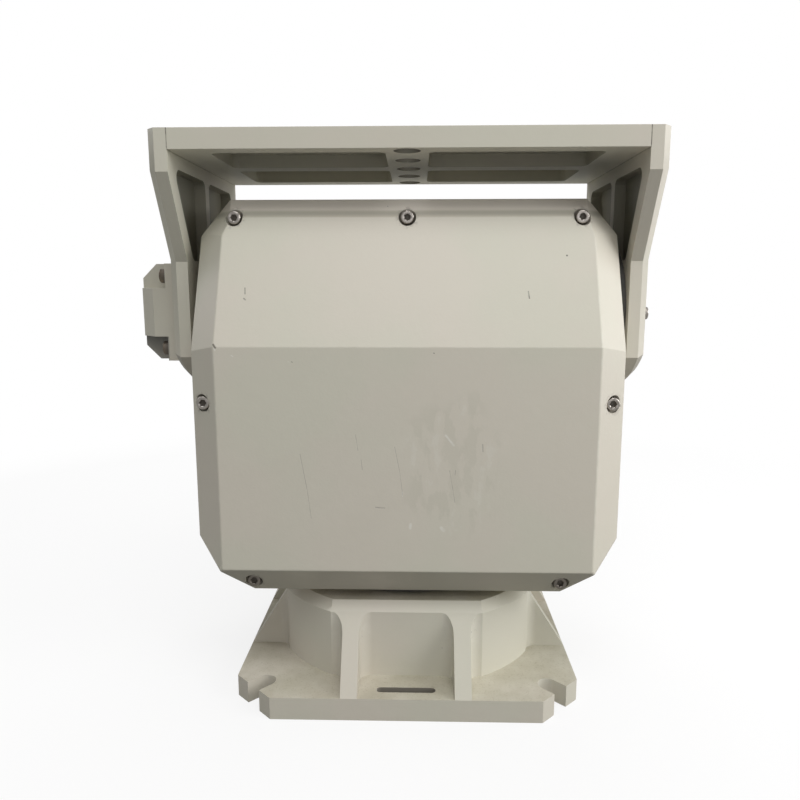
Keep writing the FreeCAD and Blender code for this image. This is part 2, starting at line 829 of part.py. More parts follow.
def pan_bearings():
    journal = "post_journal_round + press_gap"
    outer = "pan_outer_round - press_gap"
    turning = []
    for level, seat in (("lower", LOWER_BEARING), ("upper", UPPER_BEARING)):
        at = ("0", "0", seat)
        name = f"pan_bearing_inner_{level}"
        piece(name, tube(name, "pan_inner_round", journal, "pan_bearing_width", at))
        name = f"pan_bearing_outer_{level}"
        piece(name, tube(name, outer, "pan_outer_bore", "pan_bearing_width", at))
        races = ("pan_inner_round", "pan_outer_bore", "pan_bearing_width")
        turning += rollers(f"pan_roller_{level}", "pan_roller_count", *races, at, "Z")
    group("pan_bearing_rollers", turning)
    spacer_seat = ("0", "0", f"{LOWER_BEARING} + pan_bearing_width")
    spacer_round = "post_journal_round + spacer_wall"
    spacer = tube("bearing_spacer", spacer_round, journal, "pan_bearing_spacing", spacer_seat)
    piece("pan_bearing_spacer", spacer)
    retainer_seat = ("0", "0", GEAR_SEAT)
    retainer = tube("retainer_ring", "hub_round", "pan_outer_bore", "retainer_thick", retainer_seat)
    piece("bearing_retainer", retainer)


def pan_gear():
    bore = "post_journal_round + press_gap"
    rim = toothed("pan_gear_rim", "wheel_teeth", "gear_face", bore)
    rim_height = number(f"{GEAR_SEAT} + gear_lift")
    rim.Placement = Placement(Vector(0, 0, rim_height), Rotation(Vector(0, 0, 1), 180))
    hub_round = "post_journal_round + gear_hub_wall"
    hub = tube("pan_gear_hub", hub_round, bore, "gear_hub_length", ("0", "0", GEAR_SEAT))
    piece("pan_gear", fuse("pan_gear_solid", [rim, hub]))
    nut = tube("lock_nut", "lock_nut_round", bore, "lock_nut_thick", ("0", "0", NUT_SEAT))
    piece("pan_lock_nut", nut)


def slip_ring():
    """A capsule in the post and a rotor above it that follows the housing through a fork."""
    body = new_body("slip_stator_body")
    section = sketch_on(body, "XZ_Plane", "slip_stator_section")
    foot = f"({POST_TOP} - slip_body_length)"
    shell = "(post_bore_round - slip_body_gap)"
    crown = f"({POST_TOP} + slip_flange_thick)"
    corners = [
        ("slip_bore_round", foot),
        (shell, foot),
        (shell, POST_TOP),
        ("slip_flange_round", POST_TOP),
        ("slip_flange_round", crown),
        ("slip_bore_round", crown),
    ]
    polygon(section, corners)
    revolve(body, section)
    piece("slip_ring_stator", body)

    rotor = new_body("slip_rotor_body")
    section = sketch_on(rotor, "XZ_Plane", "slip_rotor_section")
    disc_foot = f"({crown} + slip_disc_gap)"
    disc_top = f"({disc_foot} + slip_disc_thick)"
    tip = f"({disc_foot} - slip_spindle_depth)"
    corners = [
        ("0", tip),
        ("slip_spindle_round", tip),
        ("slip_spindle_round", disc_foot),
        ("slip_disc_round", disc_foot),
        ("slip_disc_round", disc_top),
        ("0", disc_top),
    ]
    polygon(section, corners)
    revolve(rotor, section)
    piece("slip_ring_rotor", rotor)
    fork = box(
        "slip_fork",
        (f"{TILT_MOTOR_FACE}", "fork_width", "fork_thick"),
        ("0", "-fork_width / 2", disc_top),
    )
    piece("slip_ring_fork", fork)


# Housing and covers


def housing_outline(sketch, inset):
    """The housing's outline seen from the front, drawn in by the inset."""
    side = f"(body_half_width - ({inset}))"
    cut_angle = "atan(top_corner_width / top_corner_drop)"
    top_side = f"({ROOF} - top_corner_drop - ({inset}) * tan({cut_angle} / 2))"
    top_corner = "body_half_width - top_corner_width"
    top_across = f"({top_corner} - ({inset}) * tan((90 deg - {cut_angle}) / 2))"
    low_side = f"({FLOOR} + body_half_width - sole_half_width + ({inset}) * tan(22.5))"
    low_across = f"(sole_half_width - ({inset}) * tan(22.5))"
    right = [
        (low_across, f"{FLOOR} + ({inset})"),
        (side, low_side),
        (side, top_side),
        (top_across, f"{ROOF} - ({inset})"),
    ]
    polygon(sketch, right + [(f"-{across}", up) for across, up in reversed(right)])


def cover_screw_places(side):
    """The seven screw places of a cover as (across, height, seat depth). side is -1 in front."""
    top = f"{ROOF} - top_screw_drop"
    flank = f"{FLOOR} + side_screw_rise"
    sole = f"{FLOOR} + sole_screw_rise"
    edge = "(body_half_width - side_screw_inset)"
    top_edge = "(body_half_width - top_screw_inset)"
    sole_edge = "(sole_half_width - sole_screw_inset)"
    short = [("0", top), (f"-{top_edge}", top), (top_edge, top)]
    long = [(f"-{edge}", flank), (edge, flank), (f"-{sole_edge}", sole), (sole_edge, sole)]
    seats = [TOP_SCREW_SEAT] * 3 + [SIDE_SCREW_SEAT] * 2 + [SOLE_SCREW_SEAT] * 2
    return [(across, up, f"{side} * {seat}") for (across, up), seat in zip(short + long, seats)]


def slope_corners(body, name, inset):
    """Lean both top corners back from the front, as the brow leans the roof."""
    back = f"({ROOF_DEPTH} - ({inset}) * tan(corner_lean / 2))"
    front = f"({back} + body_front)"
    corners = [
        (f"-{back}", f"-({inset})"),
        (f"-{front}", f"-(({inset}) + body_front * tan(corner_lean))"),
        (f"-{front}", "cut_reach"),
        (f"-{back}", "cut_reach"),
    ]
    for side, sign in (("left", "-"), ("right", "")):
        wedge = sketch_on(body, "YZ_Plane", f"{name}_{side}", f"{sign}(body_half_width - top_corner_width)")
        turn = f"{sign}atan(top_corner_drop / top_corner_width)"
        wedge.AttachmentOffset = Placement(Vector(), Rotation(Vector(1, 0, 0), number(turn)))
        bind(wedge, ".AttachmentOffset.Base.y", ROOF)
        bind(wedge, ".AttachmentOffset.Rotation.Angle", turn)
        polygon(wedge, corners)
        pocket(body, wedge, "2 * body_half_width", midplane=True)


def cover_block(name, inset, rounded):
    """The front cover's outer form, or the hollow inside it when it is drawn in by the wall."""
    body = new_body(name)
    profile = sketch_on(body, "YZ_Plane", f"{name}_profile")
    facet_shift = "(facet_lean / 2)"
    brow_shift = "((brow_lean - facet_lean) / 2)"
    roof_shift = "((90 - brow_lean) / 2)"
    front = f"(body_front - ({inset}))"
    sole_lean = "atan(sole_slope / sole_run)"
    sole_back = f"({inset}) * tan({sole_lean} / 2)"
    sole_up = f"({inset}) * tan((90 deg - {sole_lean}) / 2)"
    brow_back = f"(({inset}) * cos(facet_lean) - ({inset}) * tan({brow_shift}) * sin(facet_lean))"
    brow_down = f"(({inset}) * sin(facet_lean) + ({inset}) * tan({brow_shift}) * cos(facet_lean))"
    corners = [
        ("-joint_half_depth", f"{FLOOR} + ({inset})"),
        (f"-(body_front - sole_run - {sole_back})", f"{FLOOR} + ({inset})"),
        (f"-{front}", f"{FLOOR} + sole_slope + {sole_up}"),
        (f"-{front}", f"{ROOF} - knee_drop - ({inset}) * tan({facet_shift})"),
        (f"-({BROW_DEPTH} - {brow_back})", f"{ROOF} - brow_drop - {brow_down}"),
        (f"-({ROOF_DEPTH} - ({inset}) * tan({roof_shift}))", f"{ROOF} - ({inset})"),
        ("-joint_half_depth", f"{ROOF} - ({inset})"),
    ]
    polygon(profile, corners)
    half_width = f"(body_half_width - ({inset}))"
    pad(body, profile, f"2 * {half_width}", midplane=True)
    side = number(half_width)
    spots = [(number(across), number(up)) for across, up in corners[2:5]]

    def on_front_side(edge):
        middle = edge.valueAt((edge.FirstParameter + edge.LastParameter) / 2)
        if not lies_at(edge, 0, side) and not lies_at(edge, 0, -side):
            return False
        halfway = [((a[0] + b[0]) / 2, (a[1] + b[1]) / 2) for a, b in zip(spots, spots[1:])]
        return any(abs(middle.y - y) < TOUCH and abs(middle.z - z) < TOUCH for y, z in halfway)

    dress(body, "Chamfer", edges_where(body, on_front_side), f"side_bevel - ({inset}) * (2 - sqrt(2))")
    frame = sketch_on(body, "XZ_Plane", f"{name}_frame")
    reach = "(body_half_width + cut_reach)"
    rectangle(frame, f"-{reach}", reach, f"{FLOOR} - cut_reach", f"{ROOF} + cut_reach")
    housing_outline(frame, inset)
    pocket(body, frame, "2 * body_front + cut_reach", midplane=True)
    slope_corners(body, f"{name}_corner", inset)
    if rounded:
        joint = number("-joint_half_depth")

        def is_visible(line):
            return line.BoundBox.YMax < joint + TOUCH and not lies_at(line, 1, joint)

        dress(body, "Fillet", edges_where(body, is_visible), "cover_edge_round")
    return body


def hub_notch(name):
    """Room for the housing's round hub where it passes through a cover's sole or a gasket."""
    return cylinder(name, "hub_round + hub_gap", "floor_thick", ("0", "0", FLOOR))


def front_cover():
    shell = cover_block("cover_block", "0", True)
    hollow = cover_block("cover_hollow", "cover_wall", False)
    posts = []
    holes = []
    for index, (across, up, seat) in enumerate(cover_screw_places(-1)):
        joint = "-joint_half_depth"
        start = (across, joint, up)
        length = f"{joint} - ({seat})"
        posts.append(cylinder(f"cover_post_{index}", "boss_round", length, start, "-Y"))
        holes.append(cylinder(f"cover_hole_{index}", hole_round("m5"), length, start, "-Y"))
        bore = "m5_head_round + counterbore_gap"
        holes.append(cylinder(f"cover_counterbore_{index}", bore, "body_front", (across, seat, up), "-Y"))
    holes.append(hub_notch("cover_hub_notch"))
    cavity = cut("cover_cavity", hollow, posts)
    cover = piece("front_cover", cut("cover_solid", shell, [cavity] + holes))
    back = doc.addObject("App::Link", "rear_cover_link")
    back.LinkedObject = cover
    back.Placement = Placement(Vector(), Rotation(Vector(0, 0, 1), 180))
    group("rear_cover", [back])


def cover_screws():
    for label, side, along in (("front_cover_screws", -1, "-Y"), ("rear_cover_screws", 1, "Y")):
        places = [(across, seat, up) for across, up, seat in cover_screw_places(side)]
        inner = "(joint_half_depth - gasket_thick - cover_screw_bite)"
        short = cap_screw(f"{label}_short", "m5", f"{TOP_SCREW_SEAT} - {inner}")
        long = cap_screw(f"{label}_long", "m5", f"{SIDE_SCREW_SEAT} - {inner}")
        members = copies(f"{label}_top", short, places[:3], along)
        members += copies(f"{label}_low", long, places[3:], along)
        group(label, members)


def gaskets():
    starts = {"front_gasket": "-joint_half_depth", "rear_gasket": "joint_half_depth - gasket_thick"}
    for label, start in starts.items():
        body = new_body(f"{label}_body")
        section = sketch_on(body, "XZ_Plane", f"{label}_section", f"-({start})")
        housing_outline(section, "gasket_inset")
        housing_outline(section, "gasket_inset + gasket_width")
        pad(body, section, "gasket_thick", backwards=True)
        piece(label, cut(f"{label}_solid", body, [hub_notch(f"{label}_notch")]))


def main_housing():
    half_depth = "(joint_half_depth - gasket_thick)"
    body = new_body("housing_ring")
    section = sketch_on(body, "XZ_Plane", "housing_section")
    housing_outline(section, "0")
    housing_outline(section, "housing_wall")
    pad(body, section, f"2 * {half_depth}", midplane=True)
    added = [body]
    added.append(cylinder("housing_hub", "hub_round", f"{GEAR_SEAT} - {FLOOR}", ("0", "0", FLOOR)))
    removed = []
    for index, (across, up, seat) in enumerate(cover_screw_places(-1)):
        front, rear = (across, f"-{half_depth}", up), (across, half_depth, up)
        added.append(cylinder(f"housing_boss_{index}", "boss_round", f"2 * {half_depth}", front, "Y"))
        bite = "cover_screw_bite + screw_gap"
        removed.append(cylinder(f"housing_front_hole_{index}", hole_round("m5"), bite, front, "Y"))
        removed.append(cylinder(f"housing_rear_hole_{index}", hole_round("m5"), bite, rear, "-Y"))
    boss_start = "(body_half_width - tilt_boss_depth)"
    for name, sign, along in (("left", "-", "-X"), ("right", "", "X")):
        at = (f"{sign}{boss_start}", "0", TILT)
        added.append(cylinder(f"housing_tilt_boss_{name}", "tilt_boss_round", "tilt_boss_depth", at, along))
        depth = "tilt_boss_depth - tilt_bearing_inset"
        removed.append(cylinder(f"housing_tilt_seat_{name}", "tilt_outer_round", depth, at, along))
        at = (f"{sign}(body_half_width - tilt_bearing_inset)", "0", TILT)
        depth = "tilt_bearing_inset + cut_reach"
        removed.append(cylinder(f"housing_seal_bore_{name}", "tilt_seal_round", depth, at, along))
    lower = f"{LOWER_BEARING} + pan_bearing_width - {FLOOR} + cut_reach"
    bottom = ("0", "0", f"{FLOOR} - cut_reach")
    removed.append(cylinder("housing_lower_seat", "pan_outer_round", lower, bottom))
    upper = "pan_bearing_width + cut_reach"
    removed.append(cylinder("housing_upper_seat", "pan_outer_round", upper, ("0", "0", UPPER_BEARING)))
    hub_length = f"{GEAR_SEAT} - {FLOOR}"
    removed.append(cylinder("housing_hub_bore", "pan_outer_bore", hub_length, ("0", "0", FLOOR)))
    piece("main_housing", cut("housing_solid", fuse("housing_cast", added), removed))


def pan_seals():
    skirt = tube("skirt", "skirt_round", "skirt_bore", "skirt_drop", ("0", "0", f"{FLOOR} - skirt_drop"))
    piece("pan_skirt_ring", skirt)
    seal_seat = ("0", "0", f"{LOWER_BEARING} - pan_seal_thick")
    outer, inner = "pan_outer_round - press_gap", "post_shoulder_round + fit_gap"
    seal = tube("pan_seal", outer, inner, "pan_seal_thick", seal_seat)
    piece("pan_shaft_seal", seal)


# Motors


def gearmotor(name, at, along):
    """A motor with its gearbox. The output face is at Z 0 and has a bore for the pinion's shaft."""
    body = new_body(name)
    section = sketch_on(body, "XZ_Plane", f"{name}_section")
    can_top = "(gearbox_length + motor_length)"
    end = f"({can_top} + motor_cap_length)"
    bore = "(motor_shaft_round + fit_gap)"
    corners = [
        (bore, "0"),
        ("gearbox_round", "0"),
        ("gearbox_round", "gearbox_length"),
        ("motor_round", "gearbox_length"),
        ("motor_round", can_top),
        ("motor_cap_round", can_top),
        ("motor_cap_round", end),
        ("0", end),
        ("0", "motor_shaft_bore"),
        (bore, "motor_shaft_bore"),
    ]
    polygon(section, corners)
    revolve(body, section)
    return put(body, at, along)


def pinion(name, drop, at, along, turn):
    """A pinion on its shaft. Z 0 is the motor's face, the shaft runs up and the teeth lie below."""
    face = "(gear_face + 2 * pinion_overlap)"
    teeth = toothed(f"{name}_teeth", "pinion_teeth", face)
    teeth.Placement = Placement(Vector(0, 0, -number(f"{drop} + {face}")), Rotation(Vector(0, 0, 1), turn))
    length = f"{drop} + motor_shaft_bore - shaft_end_gap"
    stem = cylinder(f"{name}_stem", "motor_shaft_round", length, ("0", "0", f"-({drop})"))
    return put(fuse(f"{name}_solid", [teeth, stem]), at, along)


def pan_drive():
    place = f"-{CENTRE_DISTANCE}"
    motor_face = f"({PAN_BRACKET_TOP} + bracket_thick)"
    piece("pan_motor", gearmotor("pan_motor_body", (place, "0", motor_face), "Z"))
    pinion_top = f"({GEAR_SEAT} + gear_lift + gear_face + pinion_overlap)"
    half_step = 180 / number("pinion_teeth")
    hang = f"({motor_face} - {pinion_top})"
    piece("pan_pinion", pinion("pan_pinion", hang, (place, "0", motor_face), "Z", half_step))

    reach = "pan_bracket_reach"
    outer = f"-({reach} + bracket_thick)"
    width = "2 * bracket_half_width"
    inner = f"(-{CENTRE_DISTANCE} + gearbox_round - 2)"
    shelf = box(
        "pan_bracket_shelf",
        (f"{inner} - {outer}", width, "bracket_thick"),
        (outer, "-bracket_half_width", PAN_BRACKET_TOP),
    )
    web = box(
        "pan_bracket_web",
        ("bracket_thick", width, "pan_bracket_lift"),
        (outer, "-bracket_half_width", LOWER_BEARING),
    )
    foot = box(
        "pan_bracket_foot",
        ("bracket_foot", width, "bracket_thick"),
        (f"-{reach}", "-bracket_half_width", LOWER_BEARING),
    )
    hole = cylinder("pan_bracket_hole", "motor_shaft_hole", "bracket_thick", (place, "0", PAN_BRACKET_TOP))
    tools = [hole] + foot_holes("pan_bracket", f"-({reach} - bracket_foot / 2)")
    piece("pan_motor_bracket", cut("pan_bracket_solid", fuse("pan_bracket_cast", [shelf, web, foot]), tools))


def foot_holes(name, place):
    """Two screw holes through a bracket's foot."""
    holes = []
    for side, sign in (("front", "-"), ("back", "")):
        at = (place, f"{sign}bracket_screw_side", LOWER_BEARING)
        holes.append(cylinder(f"{name}_foot_hole_{side}", hole_round("m5"), "bracket_thick", at))
    return holes


def tilt_drive():
    height = f"({TILT} - {CENTRE_DISTANCE})"
    face = TILT_MOTOR_FACE
    piece("tilt_motor", gearmotor("tilt_motor_body", (face, "0", height), "-X"))
    drop = f"(tilt_gear_place - pinion_overlap - {face})"
    half_step = 180 / number("pinion_teeth")
    piece("tilt_pinion", pinion("tilt_pinion", drop, (face, "0", height), "-X", half_step))

    top = f"({height} + gearbox_round + 2)"
    width = "2 * bracket_half_width"
    web = box(
        "tilt_bracket_web",
        ("bracket_thick", width, f"{top} - {LOWER_BEARING}"),
        (face, "-bracket_half_width", LOWER_BEARING),
    )
    foot = box(
        "tilt_bracket_foot",
        ("bracket_foot", width, "bracket_thick"),
        (f"{face} - bracket_foot", "-bracket_half_width", LOWER_BEARING),
    )
    hole = cylinder("tilt_bracket_hole", "motor_shaft_hole", "bracket_thick", (face, "0", height), "X")
    screw_place = f"({face} - bracket_foot / 2)"
    tools = [hole] + foot_holes("tilt_bracket", screw_place)
    piece("tilt_motor_bracket", cut("tilt_bracket_solid", fuse("tilt_bracket_cast", [web, foot]), tools))

    places = []
    for place in ("-(pan_bracket_reach - bracket_foot / 2)", screw_place):
        for sign in ("-", ""):
            places.append((place, f"{sign}bracket_screw_side", f"{LOWER_BEARING} + bracket_thick"))
    screws("bracket_screws", "m5", "bracket_thick", places, "Z")


# Tilt shaft


def tilt_shaft():
    body = new_body("tilt_shaft_body")
    section = sketch_on(body, "XZ_Plane", "tilt_shaft_section")
    end = f"({ARM_INSIDE} + tilt_end_length)"
    right = [
        ("tilt_middle_round", TILT_BEARING),
        ("tilt_journal_round", TILT_BEARING),
        ("tilt_journal_round", ARM_INSIDE),
        ("tilt_end_round", ARM_INSIDE),
        ("tilt_end_round", end),
    ]
    bore = [("tilt_bore_round", f"-{end}"), ("tilt_bore_round", "tilt_bore_end")]
    bore += [("0", "tilt_bore_end"), ("0", end)]
    polygon(section, right[::-1] + [(radius, f"-{place}") for radius, place in right] + bore)
    revolve(body, section)
    outlet = sketch_on(body, "YZ_Plane", "tilt_shaft_outlet")
    circle(outlet, "tilt_outlet_round")
    pocket(body, outlet, "tilt_middle_round")
    piece("tilt_shaft", put(body, ("0", "0", TILT), "X"))

    journal = "tilt_journal_round + press_gap"
    outer = "tilt_outer_round - press_gap"
    turning = []
    clips = []
    for name, sign, along in (("left", "-", "-X"), ("right", "", "X")):
        seat = (f"{sign}{TILT_BEARING}", "0", TILT)
        label = f"tilt_bearing_inner_{name}"
        piece(label, tube(label, "tilt_inner_round", journal, "tilt_bearing_width", seat, along))
        label = f"tilt_bearing_outer_{name}"
        piece(label, tube(label, outer, "tilt_outer_bore", "tilt_bearing_width", seat, along))
        low = (seat[0] if not sign else f"-({TILT_BEARING} + tilt_bearing_width)", "0", TILT)
        races = ("tilt_inner_round", "tilt_outer_bore", "tilt_bearing_width")
        turning += rollers(f"tilt_roller_{name}", "tilt_roller_count", *races, low, "X")
        clip_seat = (f"{sign}({TILT_BEARING} - circlip_thick)", "0", TILT)
        clips.append(tube(f"tilt_circlip_{name}", outer, "circlip_round", "circlip_thick", clip_seat, along))
        label = f"tilt_shaft_seal_{name}"
        seal_at = (f"{sign}(body_half_width - tilt_bearing_inset)", "0", TILT)
        seal_bore = "tilt_journal_round + fit_gap"
        length = "tilt_bearing_inset - tilt_seal_inset"
        piece(label, tube(label, "tilt_seal_round - press_gap", seal_bore, length, seal_at, along))
        label = f"{name}_hub_flange"
        hub_flange(label, name, sign, along)
    group("tilt_bearing_rollers", turning)
    group("tilt_circlips", clips)

    bore = "tilt_middle_round + press_gap"
    rim = toothed("tilt_gear_rim", "wheel_teeth", "gear_face", bore)
    hub_wall = "tilt_middle_round + gear_hub_wall"
    hub = tube("tilt_gear_hub", hub_wall, bore, "gear_hub_length", ORIGIN)
    wheel = fuse("tilt_gear_solid", [rim, hub])
    piece("tilt_gear", put(wheel, ("tilt_gear_place", "0", TILT), "X"))


def ring_places(circle_round, face, first):
    """Four places round the tilt axis on a face that looks along X."""
    places = []
    for index in range(4):
        turn = f"({first} + 90 * {index})"
        places.append((face, f"{circle_round} * cos({turn})", f"{TILT} + {circle_round} * sin({turn})"))
    return places


def hub_flange(label, name, sign, along):
    """The disc on a shaft end that the arm is screwed to."""
    seat = "(body_half_width + flange_gap)"
    length = "(arm_gap - flange_gap)"
    bore = "tilt_journal_round + press_gap"
    disc = tube(f"{label}_disc", f"{name}_flange_round", bore, length, (f"{sign}{seat}", "0", TILT), along)
    back = {"X": "-X", "-X": "X"}[along]
    places = ring_places(f"{name}_screw_circle", f"{sign}{ARM_INSIDE}", RING_START[name])
    holes = []
    for index, at in enumerate(places):
        holes.append(cylinder(f"{label}_hole_{index}", hole_round("m5"), length, at, back))
    piece(label, cut(f"{label}_solid", disc, holes))


# U bracket


def arm(side, sign):
    """A side plate of the bracket. sign is "-" on the left."""
    name = f"{side}_arm"
    outward = sign == ""
    body = new_body(f"{name}_body")
    inside = f"{sign}{ARM_INSIDE}"
    outline = sketch_on(body, "YZ_Plane", f"{name}_outline", inside)
    corners = [
        ("arm_neck_half", f"{TILT} - arm_end_drop"),
        ("arm_neck_half", f"{TILT} + arm_neck_rise"),
        ("arm_half_depth", f"{PLATE_TOP} - arm_knee_drop"),
        ("arm_half_depth", PLATE_TOP),
    ]
    corners += [(f"-{across}", up) for across, up in reversed(corners)]
    rounded_outline(outline, corners, "arm_end_round")
    pad(body, outline, "arm_thick", backwards=not outward)
    outside = number(f"{sign}{ARM_OUTSIDE}")
    top = number(PLATE_TOP)

    def on_rim(line):
        return lies_at(line, 0, outside) and not lies_at(line, 2, top)

    dress(body, "Chamfer", edges_where(body, on_rim), "arm_bevel")

    relief = sketch_on(body, "YZ_Plane", f"{name}_relief", inside)
    slope = "((arm_half_depth - arm_neck_half) / (plate_rise + plate_thick - arm_knee_drop - arm_neck_rise))"
    ceiling = f"({PLATE_BOTTOM} - arm_pocket_top)"
    bottom = f"({TILT} + arm_pocket_floor)"
    rib = "(arm_pocket_rib / 2)"
    high = f"(arm_neck_half - arm_pocket_margin + (plate_rise - arm_pocket_top - arm_neck_rise) * {slope})"
    low = f"(arm_neck_half - arm_pocket_margin + (arm_pocket_floor - arm_neck_rise) * {slope})"
    pocket_corners = [(rib, bottom), (low, bottom), (high, ceiling), (rib, ceiling)]
    polygon(relief, pocket_corners)
    polygon(relief, [(f"-{across}", up) for across, up in pocket_corners])
    pocket(body, relief, "arm_pocket_depth", along_normal=outward)
    spots = [(number(across), number(up)) for across, up in pocket_corners]
    corners_in = edges_where(body, lambda line: any(runs_through(line, (1, 2), spot) for spot in spots))
    dress(body, "Fillet", corners_in, "arm_pocket_round")

    bore = sketch_on(body, "YZ_Plane", f"{name}_bore", inside)
    circle(bore, "tilt_end_round + fit_gap", "0", TILT)
    circle_round = f"{side}_screw_circle"
    for _, across, up in ring_places(circle_round, inside, RING_START[side]):
        circle(bore, hole_round("m5"), across, up)
    pocket(body, bore, "arm_thick", along_normal=outward)

    seats = sketch_on(body, "YZ_Plane", f"{name}_plate_seats", f"{sign}{ARM_OUTSIDE}")
    holes = sketch_on(body, "YZ_Plane", f"{name}_plate_holes", inside)
    for across in ("-plate_screw_far", "-plate_screw_near", "plate_screw_near", "plate_screw_far"):
        up = f"{PLATE_BOTTOM} + plate_thick / 2"
        circle(seats, "m5_head_round + screw_gap", across, up)
        circle(holes, hole_round("m5"), across, up)
    pocket(body, seats, "m5_head_height - plate_screw_proud", along_normal=not outward)
    pocket(body, holes, "arm_thick", along_normal=outward)
    sinks = sketch_on(body, "YZ_Plane", f"{name}_hub_seats", f"{sign}{ARM_OUTSIDE}")
    for _, across, up in ring_places(circle_round, inside, RING_START[side]):
        circle(sinks, "m5_head_round + screw_gap", across, up)
    pocket(body, sinks, f"{side}_screw_sink", along_normal=not outward)
    if not outward:
        cover_holes = sketch_on(body, "YZ_Plane", f"{name}_cover_holes", f"{sign}{ARM_OUTSIDE}")
        for across, up in hub_cover_corners():
            circle(cover_holes, hole_round("m6"), across, up)
        pocket(body, cover_holes, "hub_screw_bite + screw_gap", along_normal=True)
    piece(name, body)


def rounded_outline(sketch, corners, radius):
    """Straight lines through the corners, closed by one round end that bulges down."""
    spots = [Vector(number(across), number(up), 0) for across, up in corners]
    for start, end in zip(spots, spots[1:]):
        sketch.addGeometry(Part.LineSegment(start, end), False)
    last = len(corners) - 2
    for index in range(last):
        sketch.addConstraint(Sketcher.Constraint("Coincident", index, 2, index + 1, 1))
    for index, (across, up) in enumerate(corners[:-1]):
        hold_point(sketch, (index, 1), across, up)
    hold_point(sketch, (last, 2), *corners[-1])
    half, reach = abs(spots[0].x), number(radius)
    centre = Vector(0, spots[0].y + math.sqrt(reach**2 - half**2), 0)
    swing = math.asin(half / reach)
    down = -math.pi / 2
    bend = Part.ArcOfCircle(Part.Circle(centre, Vector(0, 0, 1), reach), down - swing, down + swing)
    curve = sketch.addGeometry(bend, False)
    sketch.addConstraint(Sketcher.Constraint("Coincident", last, 2, curve, 1))
    sketch.addConstraint(Sketcher.Constraint("Coincident", curve, 2, 0, 1))
    hold(sketch, "Radius", (curve,), radius)


def top_plate():
    body = new_body("plate_body")
    outline = sketch_on(body, "XY_Plane", "plate_outline", PLATE_BOTTOM)
    rectangle(outline, f"-{ARM_INSIDE}", ARM_INSIDE, "-arm_half_depth", "arm_half_depth")
    pad(body, outline, "plate_thick")
    relief = sketch_on(body, "XY_Plane", "plate_relief", PLATE_BOTTOM)
    near, far = "plate_pocket_near", "plate_pocket_far"
    inner, outer = "plate_pocket_in", "plate_pocket_out"
    for left, right in ((f"-{outer}", f"-{inner}"), (inner, outer)):
        for low, high in ((f"-{far}", f"-{near}"), (near, far)):
            rounded_rectangle(relief, left, right, low, high, "plate_pocket_round")
    pocket(body, relief, "plate_pocket_depth", along_normal=True)
    row = sketch_on(body, "XY_Plane", "plate_payload_holes", PLATE_BOTTOM)
    for index in range(SIZES["payload_hole_count"]):
        place = f"(({index} - (payload_hole_count - 1) / 2) * payload_hole_pitch)"
        circle(row, "payload_hole_round", "0", place)
    pocket(body, row, "plate_thick", along_normal=True)
    for name, sign in (("left", "-"), ("right", "")):
        ends = sketch_on(body, "YZ_Plane", f"plate_end_holes_{name}", f"{sign}{ARM_INSIDE}")
        for across in ("-plate_screw_far", "-plate_screw_near", "plate_screw_near", "plate_screw_far"):
            circle(ends, hole_round("m5"), across, f"{PLATE_BOTTOM} + plate_thick / 2")
        pocket(body, ends, "plate_screw_bite + screw_gap", along_normal=sign == "-")
    piece("top_plate", body)


def bracket_fasteners():
    height = f"{PLATE_BOTTOM} + plate_thick / 2"
    seat = f"({ARM_OUTSIDE} - m5_head_height + plate_screw_proud)"
    master = cap_screw("plate_screw_master", "m5", f"{seat} - {ARM_INSIDE} + plate_screw_bite")
    rows = ("-plate_screw_far", "-plate_screw_near", "plate_screw_near", "plate_screw_far")
    left = copies("plate_screw_left", master, [(f"-{seat}", across, height) for across in rows], "-X")
    right = copies("plate_screw_right", master, [(seat, across, height) for across in rows], "X")
    group("plate_screws", left + right)
    for side, sign, along in (("left", "-", "-X"), ("right", "", "X")):
        sink = f"{side}_screw_sink"
        seat = f"{sign}({ARM_OUTSIDE} - {sink})"
        places = ring_places(f"{side}_screw_circle", seat, RING_START[side])
        screws(f"{side}_hub_screws", "m5", f"arm_thick + arm_screw_bite - {sink}", places, along)


def hub_cover_corners():
    heights = [f"{TILT} - hub_screw_rise", f"{TILT} + hub_screw_rise"]
    return [(across, height) for across in ("-hub_screw_side", "hub_screw_side") for height in heights]


